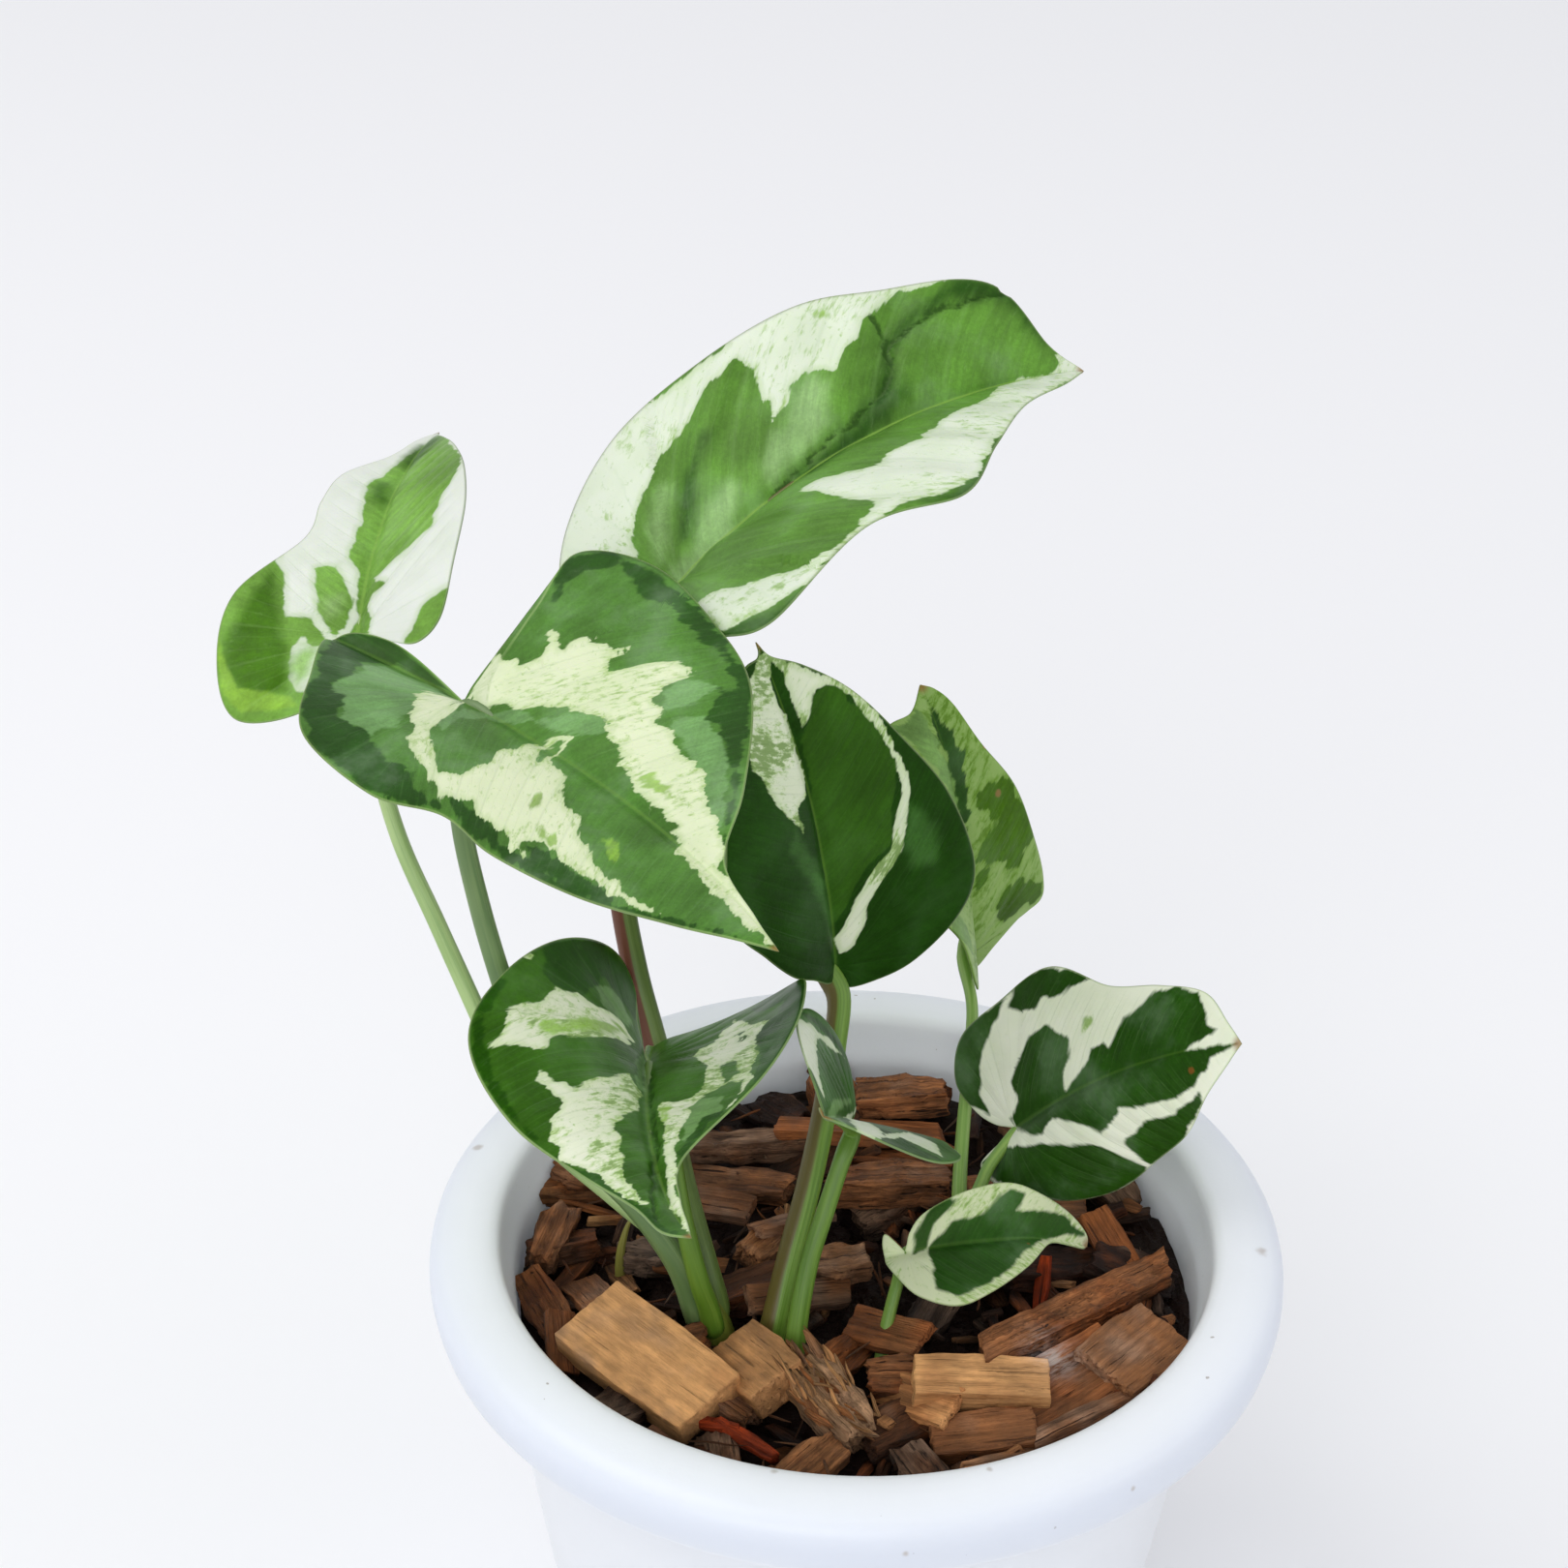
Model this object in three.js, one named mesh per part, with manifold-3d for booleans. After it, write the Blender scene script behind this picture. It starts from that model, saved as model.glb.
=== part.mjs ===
import * as THREE from 'three';
import { mergeVertices } from 'three/addons/utils/BufferGeometryUtils.js';
import Module from 'manifold-3d';

// Potted snow queen pothos. Millimetres and degrees, +Z up.
// The origin is the centre of the pot's flat underside and -Y is the side that the photo is taken from.

// Pot
const POT_HEIGHT = 112;
const POT_FOOT_RADIUS = 52;
const POT_FLOOR_THICKNESS = 2.2;
const INNER_FLOOR_RADIUS = 49.6;
const INNER_TOP_RADIUS = 62.9;
const RIM_INNER_RADIUS = 65.2;
const RIM_OUTER_RADIUS = 78;
const POT_SEGMENTS = 60;
const DRAIN_HOLE_RADIUS = 4.5;
const DRAIN_HOLE_RING = 30;
const DRAIN_HOLES = 5;

// Bark mix
const MIX_TOP = 97;
const MIX_SEGMENTS = 40;
const MIX_BUMP = 1.4;
const GAP = 0.35;
const CHIP_SEED = 20;
const CHIP_RINGS = [
  { count: 17, radius: 54, length: 18, width: 9 },
  { count: 11, radius: 38, length: 19, width: 10 },
  { count: 6, radius: 20, length: 17, width: 9 },
];

// Leaf blades
const BLADE_THICKNESS = 0.8;
const MARGIN_STEPS = 16;
const BLADE_ROWS = 4;
const FAN_STEPS = 5;
const RIB_SHARE = 0.45;
const RIB_END_RADIUS = 0.45;
const STALK_SIDES = 8;
const CURL_WIDTH_SHARE = 0.4;
const SPINE_STEPS = 60;
const SPINE_START = -0.5;

// Each leaf is a flat outline, x along the midrib from the stalk and y to its left, that is bent into place.
// heading turns the midrib round Z, pitch lifts it and roll lifts its left half at the stalk.
// droop, sweep and twist are how much pitch, heading and roll change up to the tip.
// fold lifts a half from the midrib and curl is how much it bends on over two fifths of the leaf's length.
const LEAVES = [
  {
    name: 'leaf_top',
    base: [-34.5, 36.5, 223.5],
    length: 88,
    heading: 31,
    pitch: 40,
    roll: -5,
    droop: -49,
    droopGrowth: 2,
    sweep: -2,
    twist: 21,
    left: {
      fold: 21,
      foldGrowth: 17,
      curl: -15,
      curlGrowth: 5,
      margin: [
        [-10.5, 3], [-16.5, 11], [-16, 21], [-7, 30], [9, 34],
        [27, 32], [45.5, 29.5], [58, 24.5], [75, 19], [82, 5.5],
      ],
    },
    right: {
      fold: 26,
      foldGrowth: 1,
      curl: -35,
      curlGrowth: -3,
      margin: [
        [-10.5, -3], [-16, -11], [-14.5, -20.5], [-3.5, -29], [5.5, -36],
        [28, -29.5], [44.5, -32.5], [56.5, -23], [68.5, -12.5], [80, -6.5],
      ],
    },
    stalk: {
      lower: 2.7,
      upper: 1.9,
      path: [
        [-25.5, -14, 104], [-27.5, -11.5, 110.5], [-32.5, -1, 123.5], [-36.5, 9, 139.5],
        [-41.5, 18, 154.5], [-44.5, 23, 172], [-44.5, 28, 189], [-42, 33, 206.5],
      ],
    },
  },
  {
    name: 'leaf_front_left',
    base: [-69, 7.5, 215.5],
    length: 89,
    heading: -37,
    pitch: -4,
    roll: 5,
    droop: 7,
    droopGrowth: -4,
    sweep: -27,
    twist: 13,
    left: {
      fold: 21,
      foldGrowth: 3,
      curl: -3,
      curlGrowth: 2,
      margin: [
        [4.5, 0.5], [1, 7.5], [-1.5, 22], [-3, 35], [10, 38.5],
        [27.5, 34], [43.5, 27.5], [58, 13.5], [66, 3], [79.5, 0.5],
      ],
    },
    right: {
      fold: 20,
      foldGrowth: -9,
      curl: -12,
      curlGrowth: 3,
      margin: [
        [-20, 4], [-29, -1.5], [-19, -19], [-6, -33], [15, -34],
        [27.5, -27.5], [41.5, -26.5], [59.5, -20.5], [74, -11.5], [83, -4.5],
      ],
    },
    stalk: {
      lower: 2.3,
      upper: 1.7,
      path: [
        [-28.5, -16, 104], [-32, -15.5, 114.5], [-40, -13.5, 126], [-51, -10, 136],
        [-58, -6, 149.5], [-63.5, -2, 166.5], [-67, 1, 179.5], [-69.5, 3, 193],
        [-70, 5, 204],
      ],
    },
  },
  {
    name: 'leaf_low_front',
    base: [-37.5, -4, 150],
    length: 77,
    heading: -89,
    pitch: 16,
    roll: -12,
    droop: -19,
    droopGrowth: 26,
    sweep: 17,
    twist: 29,
    left: {
      fold: 26,
      foldGrowth: -3,
      curl: 29,
      curlGrowth: -36,
      margin: [
        [-8.5, 0], [-12.5, 9.5], [-13.5, 20], [-6.5, 30], [7.5, 32],
        [23.5, 29.5], [37.5, 21], [48, 5], [61, 2], [70.5, 1],
      ],
    },
    right: {
      fold: 41,
      foldGrowth: -32,
      curl: -14,
      curlGrowth: -9,
      margin: [
        [-7.5, -5], [-15.5, -9], [-15.5, -17], [-5.5, -25.5], [9.5, -31.5],
        [23, -33], [38, -24], [50, -13], [60.5, -6], [71.5, -3.5],
      ],
    },
    stalk: {
      lower: 2.0,
      upper: 1.4,
      path: [
        [-26, -18, 105.5], [-28, -18, 113], [-31, -15.5, 126], [-33.5, -11, 139.5],
      ],
    },
  },
  {
    name: 'leaf_back_left',
    base: [-94, 50, 203.5],
    length: 65,
    heading: 89,
    pitch: 31,
    roll: -21,
    droop: -40,
    droopGrowth: -1,
    sweep: -12,
    twist: 3,
    left: {
      fold: 15,
      foldGrowth: -4,
      curl: 2,
      curlGrowth: 6,
      margin: [
        [-7.5, 2], [-15, 9], [-16, 21], [-5, 25.5], [9.5, 24.5],
        [23, 14], [33.5, 13.5], [43, 12], [51, 5], [59.5, 2.5],
      ],
    },
    right: {
      fold: 24,
      foldGrowth: -7,
      curl: -13,
      curlGrowth: -4,
      margin: [
        [-1, -4], [-4.5, -10.5], [-6.5, -17.5], [-3, -22.5], [7, -23.5],
        [20, -23], [32.5, -19], [43.5, -13], [53, -6.5], [60, -2],
      ],
    },
    stalk: {
      lower: 2.0,
      upper: 1.4,
      path: [
        [-29, -11, 103.5], [-33, -8.5, 112], [-43.5, -4, 119], [-57.5, 2, 128.5],
        [-64.5, 8, 137], [-70.5, 15, 147], [-78, 24, 159], [-85.5, 32, 172.5],
        [-90.5, 39, 189],
      ],
    },
  },
  {
    name: 'leaf_middle',
    base: [-5, 22.5, 153],
    length: 69.5,
    heading: 179,
    pitch: 86,
    roll: -25,
    droop: -16,
    droopGrowth: -2,
    sweep: 8,
    twist: -11,
    left: {
      fold: 7,
      foldGrowth: -11,
      curl: -19,
      curlGrowth: -4,
      margin: [
        [-2, 1], [-1, 4.5], [3, 9.5], [7.5, 15.5], [15.5, 21.5],
        [26, 27], [39.5, 23.5], [54, 15.5], [66.5, 6.5], [67, 1],
      ],
    },
    right: {
      fold: 27,
      foldGrowth: -2,
      curl: 6,
      curlGrowth: 0,
      margin: [
        [-5, -1], [-6.5, -8], [-5.5, -17], [0.5, -27], [9, -31],
        [24.5, -27.5], [38.5, -20.5], [51.5, -13.5], [60.5, -6.5], [65.5, -1.5],
      ],
    },
    stalk: {
      lower: 2.5,
      upper: 2.1,
      path: [
        [-17, -23, 91.5], [-15, -18.5, 99], [-13.5, -15, 105.5], [-11.5, -9.5, 113],
        [-9, -3, 121.5], [-6.5, 6, 132], [-5, 14, 141.5], [-4.5, 20, 148],
      ],
    },
  },
  {
    name: 'leaf_young',
    base: [-1, -5, 138.5],
    length: 43.5,
    heading: -104,
    pitch: 42,
    roll: -3,
    droop: -16,
    droopGrowth: 12,
    sweep: 11,
    twist: -5,
    left: {
      fold: 5,
      foldGrowth: -14,
      curl: -9,
      curlGrowth: -2,
      margin: [
        [-2.5, 4], [-6.5, 8], [-7.5, 12.5], [-3, 16], [5, 18.5],
        [13.5, 22], [24, 21.5], [34, 18], [41.5, 10], [43.5, -1],
      ],
    },
    right: {
      fold: 65,
      foldGrowth: -9,
      curl: -6,
      curlGrowth: -4,
      margin: [
        [-3.5, -2], [-5.5, -6], [-6, -11.5], [-2, -16.5], [5.5, -19.5],
        [14, -20], [23, -17.5], [30, -12], [34.5, -4.5], [38.5, -0.5],
      ],
    },
    stalk: {
      lower: 2.0,
      upper: 1.5,
      path: [
        [-11.5, -26.5, 93], [-10.5, -23, 101.5], [-9.5, -20, 109.5], [-8, -16.5, 117],
        [-5.5, -13, 125], [-3, -9.5, 133],
      ],
    },
  },
  {
    name: 'leaf_back_right',
    base: [20.5, 58, 132],
    length: 58,
    heading: 146,
    pitch: 91,
    roll: 11,
    droop: -27,
    droopGrowth: -6,
    sweep: -4,
    twist: -16,
    left: {
      fold: 35,
      foldGrowth: -23,
      curl: -20,
      curlGrowth: -13,
      margin: [
        [-1.5, 1.5], [-1.5, 6], [0, 11.5], [4, 15], [12.5, 16.5],
        [22.5, 22.5], [34, 23], [45.5, 18.5], [54, 13], [54.5, 5.5],
      ],
    },
    right: {
      fold: 18,
      foldGrowth: -7,
      curl: -4,
      curlGrowth: -3,
      margin: [
        [-4, -2], [-1.5, -7.5], [1.5, -15], [2.5, -22], [8, -22],
        [19, -18.5], [31.5, -14.5], [42.5, -8.5], [52, -5], [56, -2.5],
      ],
    },
    stalk: {
      lower: 1.5,
      upper: 1.1,
      path: [
        [19.5, 6.5, 104.5], [19, 13, 107.5], [19.5, 26, 111], [20.5, 38, 120.5],
        [21, 48, 127],
      ],
    },
  },
  {
    name: 'leaf_right',
    base: [29, 20.5, 119],
    length: 54,
    heading: -17,
    pitch: 50,
    roll: 20,
    droop: -19,
    droopGrowth: -6,
    sweep: -14,
    twist: 4,
    left: {
      fold: 28,
      foldGrowth: -2,
      curl: 3,
      curlGrowth: -1,
      margin: [
        [-4, 3], [-7, 8], [-8, 15], [-3, 21.5], [6.5, 23],
        [18, 24], [28, 16], [38, 13], [46.5, 10], [51, 4],
      ],
    },
    right: {
      fold: 0,
      foldGrowth: -26,
      curl: -71,
      curlGrowth: -6,
      margin: [
        [-8.5, -1], [-10, -3.5], [-7, -9], [-0.5, -15], [8, -19.5],
        [17.5, -21], [28, -18.5], [38, -15], [45.5, -8.5], [50.5, -4],
      ],
    },
    stalk: {
      lower: 1.4,
      upper: 1.1,
      path: [
        [21, 5.5, 105.5], [21.5, 9, 109.5], [23, 12.5, 112], [25, 16, 114.5],
      ],
    },
  },
  {
    name: 'leaf_low_right',
    base: [9, -9.5, 113],
    length: 38.5,
    heading: 6,
    pitch: 13,
    roll: 17,
    droop: -46,
    droopGrowth: -7,
    sweep: 31,
    twist: 7,
    left: {
      fold: 32,
      foldGrowth: 5,
      curl: -10,
      curlGrowth: 0,
      margin: [
        [0, 0.5], [0.5, 1.5], [1.5, 3.5], [4, 6], [8.5, 8],
        [14, 9.5], [20.5, 10], [27.5, 7.5], [34, 4.5], [38, 2],
      ],
    },
    right: {
      fold: 16,
      foldGrowth: -2,
      curl: -17,
      curlGrowth: -1,
      margin: [
        [-3, 4], [-4, -0.5], [-2, -6], [1, -11], [6.5, -14],
        [12.5, -12], [20.5, -7], [28, -1], [33.5, -1], [36.5, -1],
      ],
    },
    stalk: {
      lower: 1.3,
      upper: 1.1,
      path: [
        [4.5, -23.5, 92.5], [5.5, -18.5, 100], [6.5, -15.5, 104.5], [7.5, -13, 108],
      ],
    },
  },
];

// Short vine stems that the leaf stalks spring from
const STEMS = [
  { name: 'stem_left', lower: 4.4, upper: 4.1, path: [[-21, -13.5, 62], [-23, -15.5, 84], [-25, -16, 99], [-26, -15, 107]] },
  { name: 'stem_right', lower: 3, upper: 2.6, path: [[21, 4, 66], [20.5, 4.5, 86], [20, 5, 98], [19.5, 5.5, 105]] },
];
const SPROUT = { name: 'sprout', lower: 1.3, upper: 0.5, path: [[-43, -1, 90], [-43.5, 0, 101], [-42.5, 1, 107], [-41, 1.5, 111]] };

// Large chips where they lie: x, y, height of the middle, length, width, thickness, turn, tip along, tip across
const LARGE_CHIPS = [
  { at: [-36, -29.5, 102.5], size: [33, 17, 6], turn: -41, pitch: 4, roll: 14 },
  { at: [-17, -29, 101.5], size: [18, 13, 6], turn: -56, pitch: -12, roll: 18 },
  { at: [-4, -38, 102], size: [21, 12, 7], turn: -52, pitch: 8, roll: -10 },
  { at: [8, -30, 101], size: [12, 11, 4], turn: 10, pitch: 6, roll: 8 },
  { at: [22.5, -33, 103], size: [25, 10, 6], turn: 4, pitch: 3, roll: 6 },
  { at: [23, -43, 100], size: [19, 9, 5], turn: 8, pitch: -4, roll: 10 },
  { at: [40, -12, 102.5], size: [50, 9, 6], turn: 42, pitch: 5, roll: 8 },
  { at: [50, -22, 101.5], size: [20, 15, 5], turn: 52, pitch: 4, roll: 12 },
  { at: [41, -38, 100.5], size: [26, 4, 4], turn: 38, pitch: 3, roll: 0 },
  { at: [8, 50, 103], size: [20, 12, 6], turn: 12, pitch: 2, roll: -8 },
  { at: [-22, 36, 101], size: [27, 7, 5], turn: 10, pitch: 0, roll: -4 },
  { at: [6, 24, 102], size: [27, 12, 6], turn: 10, pitch: 3, roll: -8 },
  { at: [-3, 1, 101], size: [12, 9, 5], turn: 14, pitch: 0, roll: 0 },
  { at: [-54, 24, 101], size: [10, 8, 6], turn: -10, pitch: 10, roll: 8 },
  { at: [-56.5, 6, 101], size: [16, 8, 6], turn: 76, pitch: -8, roll: 12 },
  { at: [-18, -45.5, 100], size: [15, 2.6, 2.6], turn: -37, pitch: 3, roll: 0 },
  { at: [-24, -42, 100], size: [12, 2.4, 2.4], turn: -20, pitch: -6, roll: 0 },
];

const wasm = await Module();
wasm.setup();

const radians = THREE.MathUtils.degToRad;

function seededRandom(seed) {
  let state = seed;
  return () => {
    state = (state * 1664525 + 1013904223) % 4294967296;
    return state / 4294967296;
  };
}

function solidFromMesh(positions, triangles) {
  const mesh = new wasm.Mesh({
    numProp: 3,
    vertProperties: new Float32Array(positions),
    triVerts: new Uint32Array(triangles),
  });
  return new wasm.Manifold(mesh);
}

function solidFromGeometry(geometry) {
  const bare = geometry.clone();
  bare.deleteAttribute('normal');
  bare.deleteAttribute('uv');
  const merged = mergeVertices(bare, 1e-4);
  return solidFromMesh(merged.attributes.position.array, merged.index.array);
}

function largestBody(solid) {
  const bodies = solid.decompose();
  return bodies.reduce((best, body) => (body.volume() > best.volume() ? body : best));
}

function namedMesh(name, solid) {
  const result = solid.getMesh();
  const geometry = new THREE.BufferGeometry();
  geometry.setAttribute('position', new THREE.BufferAttribute(new Float32Array(result.vertProperties), 3));
  geometry.setIndex(new THREE.BufferAttribute(new Uint32Array(result.triVerts), 1));
  geometry.computeVertexNormals();
  const mesh = new THREE.Mesh(geometry, new THREE.MeshStandardMaterial());
  mesh.name = name;
  return mesh;
}

// A surface of revolution about Z that starts and ends on the axis
function revolved(profile, segments) {
  const points = profile.map(([radius, height]) => new THREE.Vector2(radius, height));
  const geometry = new THREE.LatheGeometry(points, segments);
  geometry.rotateX(Math.PI / 2);
  return solidFromGeometry(geometry);
}

// A tapered round stalk along a smooth curve, closed at both ends
function taperedTube(points, radiusAt, sides, steps) {
  const curve = new THREE.CatmullRomCurve3(points, false, 'centripetal');
  const centres = curve.getSpacedPoints(steps);
  const positions = [];
  const triangles = [];
  const side = new THREE.Vector3(1, 0, 0);
  centres.forEach((centre, ring) => {
    const before = centres[Math.max(ring - 1, 0)];
    const after = centres[Math.min(ring + 1, steps)];
    const along = new THREE.Vector3().subVectors(after, before).normalize();
    side.addScaledVector(along, -side.dot(along)).normalize();
    const across = new THREE.Vector3().crossVectors(along, side);
    const radius = radiusAt(ring / steps);
    for (let corner = 0; corner < sides; corner += 1) {
      const angle = (2 * Math.PI * corner) / sides;
      const point = centre.clone();
      point.addScaledVector(side, radius * Math.cos(angle));
      point.addScaledVector(across, radius * Math.sin(angle));
      positions.push(point.x, point.y, point.z);
    }
  });
  for (let ring = 0; ring < steps; ring += 1) {
    for (let corner = 0; corner < sides; corner += 1) {
      const next = (corner + 1) % sides;
      const a = ring * sides + corner;
      const b = ring * sides + next;
      triangles.push(a, b, b + sides, a, b + sides, a + sides);
    }
  }
  const last = steps * sides;
  for (let corner = 1; corner < sides - 1; corner += 1) {
    triangles.push(0, corner + 1, corner);
    triangles.push(last, last + corner, last + corner + 1);
  }
  return solidFromMesh(positions, triangles);
}

function potProfile() {
  const top = POT_HEIGHT;
  return [
    [0, 0], [POT_FOOT_RADIUS - 1.5, 0], [POT_FOOT_RADIUS, 1.2],
    [66.2, top - 13], [68.4, top - 6.8], [71.4, top - 5.8], [74, top - 7],
    [75.1, top - 11.8], [76.6, top - 12], [77.8, top - 8.5], [RIM_OUTER_RADIUS, top - 5.4],
    [77, top - 2.5], [73.5, top - 0.8], [67.2, top], [RIM_INNER_RADIUS, top - 1.2],
    [64.8, top - 5], [63.5, top - 6], [INNER_TOP_RADIUS, top - 9.8],
    [INNER_FLOOR_RADIUS, POT_FLOOR_THICKNESS + 1.6], [INNER_FLOOR_RADIUS - 2, POT_FLOOR_THICKNESS],
    [0, POT_FLOOR_THICKNESS],
  ];
}

function buildPot() {
  let pot = revolved(potProfile(), POT_SEGMENTS);
  for (let hole = 0; hole < DRAIN_HOLES; hole += 1) {
    const angle = (2 * Math.PI * hole) / DRAIN_HOLES;
    const drill = new THREE.CylinderGeometry(DRAIN_HOLE_RADIUS, DRAIN_HOLE_RADIUS, 12, 16);
    drill.rotateX(Math.PI / 2);
    drill.translate(DRAIN_HOLE_RING * Math.cos(angle), DRAIN_HOLE_RING * Math.sin(angle), 0);
    pot = pot.subtract(solidFromGeometry(drill));
  }
  return pot;
}

// Rest of a distance up the pot's inner wall, less the gap to it
function wallRadius(height) {
  const low = POT_FLOOR_THICKNESS + 1.6;
  const share = (height - low) / (POT_HEIGHT - 9.8 - low);
  return INNER_FLOOR_RADIUS + share * (INNER_TOP_RADIUS - INNER_FLOOR_RADIUS) - 1.2 * GAP;
}

function mixBody() {
  const floor = POT_FLOOR_THICKNESS + GAP;
  const rows = [
    { radius: INNER_FLOOR_RADIUS - 2.6, height: floor, bump: 0 },
    { radius: wallRadius(6), height: 6, bump: 0 },
    { radius: wallRadius(MIX_TOP - 3), height: MIX_TOP - 3, bump: 0 },
    { radius: wallRadius(MIX_TOP - 3) - 1.5, height: MIX_TOP - 0.5, bump: MIX_BUMP },
    { radius: 50, height: MIX_TOP, bump: MIX_BUMP },
    { radius: 36, height: MIX_TOP, bump: MIX_BUMP },
    { radius: 18, height: MIX_TOP, bump: MIX_BUMP },
  ];
  const positions = [0, 0, floor];
  const triangles = [];
  const count = MIX_SEGMENTS;
  rows.forEach((row, index) => {
    for (let step = 0; step < count; step += 1) {
      const angle = (2 * Math.PI * step) / count;
      const wave = Math.sin(5 * angle + 1.7 * index) + Math.sin(9 * angle + 2.9 * index);
      positions.push(row.radius * Math.cos(angle), row.radius * Math.sin(angle), row.height + 0.5 * row.bump * wave);
    }
  });
  positions.push(0, 0, MIX_TOP);
  const top = positions.length / 3 - 1;
  for (let step = 0; step < count; step += 1) {
    const next = (step + 1) % count;
    triangles.push(0, 1 + next, 1 + step);
    for (let row = 0; row < rows.length - 1; row += 1) {
      const a = 1 + row * count + step;
      const b = 1 + row * count + next;
      triangles.push(a, b, b + count, a, b + count, a + count);
    }
    const edge = 1 + (rows.length - 1) * count;
    triangles.push(edge + step, edge + next, top);
  }
  return solidFromMesh(positions, triangles);
}

// One bark chip: a slab with six uneven corners, thinner at its ends
function chipSolid(chip, random) {
  const [length, width, thickness] = chip.size;
  const outline = [[-1, -0.7], [-0.1, -1], [0.95, -0.8], [1, 0.6], [0.2, 1], [-0.9, 0.8]];
  const positions = [];
  const triangles = [];
  const turn = new THREE.Euler(radians(chip.roll), radians(chip.pitch), radians(chip.turn), 'ZYX');
  const layers = [-0.5, 0.5];
  layers.forEach((layer) => {
    outline.forEach(([along, across]) => {
      const point = new THREE.Vector3(
        0.5 * length * along * (1 - 0.16 * random()),
        0.5 * width * across * (1 - 0.28 * random()),
        thickness * layer * (1 - 0.25 * random()),
      );
      point.applyEuler(turn);
      positions.push(point.x + chip.at[0], point.y + chip.at[1], point.z + chip.at[2]);
    });
  });
  const corners = outline.length;
  for (let corner = 0; corner < corners; corner += 1) {
    const next = (corner + 1) % corners;
    triangles.push(corner, next, corners + next, corner, corners + next, corners + corner);
  }
  for (let corner = 1; corner < corners - 1; corner += 1) {
    triangles.push(0, corner + 1, corner);
    triangles.push(corners, corners + corner, corners + corner + 1);
  }
  return solidFromMesh(positions, triangles);
}

// Small chips on three rings, each turned and tipped at random
function smallChips(random) {
  const chips = [];
  CHIP_RINGS.forEach((ring) => {
    for (let index = 0; index < ring.count; index += 1) {
      const angle = (2 * Math.PI * (index + 0.7 * random())) / ring.count;
      const reach = ring.radius + 7 * (random() - 0.5);
      chips.push({
        at: [reach * Math.cos(angle), reach * Math.sin(angle), MIX_TOP + 1 + 2 * random()],
        size: [ring.length * (0.7 + 0.6 * random()), ring.width * (0.7 + 0.6 * random()), 3.5 + 2 * random()],
        turn: 360 * random(),
        pitch: 34 * (random() - 0.5),
        roll: 40 * (random() - 0.5),
      });
    }
  });
  return chips;
}

function clearSpaceAboveFloor() {
  const low = POT_FLOOR_THICKNESS + GAP;
  const high = POT_HEIGHT + 8;
  return revolved([
    [0, low], [wallRadius(low) - 0.6, low], [wallRadius(POT_HEIGHT - 12), POT_HEIGHT - 12],
    [wallRadius(POT_HEIGHT - 12), high], [0, high],
  ], MIX_SEGMENTS);
}

function buildMix(holes) {
  const random = seededRandom(CHIP_SEED);
  let mix = mixBody();
  [...smallChips(random), ...LARGE_CHIPS].forEach((chip) => {
    mix = mix.add(chipSolid(chip, random));
  });
  mix = mix.intersect(clearSpaceAboveFloor());
  holes.forEach((hole) => {
    mix = mix.subtract(hole);
  });
  return largestBody(mix);
}

// The midrib's place and direction at a share of the leaf's length
function spineAt(leaf, share) {
  const direction = (at) => {
    const pitch = radians(leaf.pitch + leaf.droop * at + leaf.droopGrowth * at * at);
    const heading = radians(leaf.heading + leaf.sweep * at);
    return {
      pitch,
      heading,
      along: new THREE.Vector3(
        Math.cos(pitch) * Math.cos(heading),
        Math.cos(pitch) * Math.sin(heading),
        Math.sin(pitch),
      ),
    };
  };
  const steps = Math.max(2, Math.ceil(Math.abs(share) * SPINE_STEPS));
  const place = new THREE.Vector3(...leaf.base);
  const step = share / steps;
  for (let index = 0; index < steps; index += 1) {
    place.addScaledVector(direction((index + 0.5) * step).along, leaf.length * step);
  }
  return { place, ...direction(share) };
}

// A point of the bent blade and its upward normal, from flat coordinates
function bladePoint(leaf, x, y) {
  const share = x / leaf.length;
  const { place, heading, along } = spineAt(leaf, share);
  const level = new THREE.Vector3(-Math.sin(heading), Math.cos(heading), 0);
  const over = new THREE.Vector3().crossVectors(along, level);
  const roll = radians(leaf.roll + leaf.twist * share);
  const toLeft = level.clone().multiplyScalar(Math.cos(roll)).addScaledVector(over, Math.sin(roll));
  const up = over.clone().multiplyScalar(Math.cos(roll)).addScaledVector(level, -Math.sin(roll));
  const half = y >= 0 ? leaf.left : leaf.right;
  const side = y >= 0 ? 1 : -1;
  const reach = Math.abs(y);
  const width = CURL_WIDTH_SHARE * leaf.length;
  const fold = radians(half.fold + half.foldGrowth * share);
  let curl = radians(half.curl + half.curlGrowth * share);
  if (Math.abs(curl) < 0.001) {
    curl = 0.001;
  }
  const slope = fold + (curl * reach) / width;
  const out = ((Math.sin(slope) - Math.sin(fold)) * width) / curl;
  const lift = ((Math.cos(fold) - Math.cos(slope)) * width) / curl;
  const point = place.clone().addScaledVector(toLeft, side * out).addScaledVector(up, lift);
  const normal = up.clone().multiplyScalar(Math.cos(slope)).addScaledVector(toLeft, -side * Math.sin(slope));
  return { point, normal };
}

// The smooth margin of one half, from the notch at the stalk to the tip
function marginPoints(leaf, half) {
  const controls = [[0, 0], ...half.margin, [leaf.length, 0]];
  const curve = new THREE.CatmullRomCurve3(controls.map(([x, y]) => new THREE.Vector3(x, y, 0)), false, 'catmullrom', 0.5);
  const points = [];
  for (let step = 0; step <= MARGIN_STEPS; step += 1) {
    points.push(curve.getPoint(step / MARGIN_STEPS));
  }
  return points;
}

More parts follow.
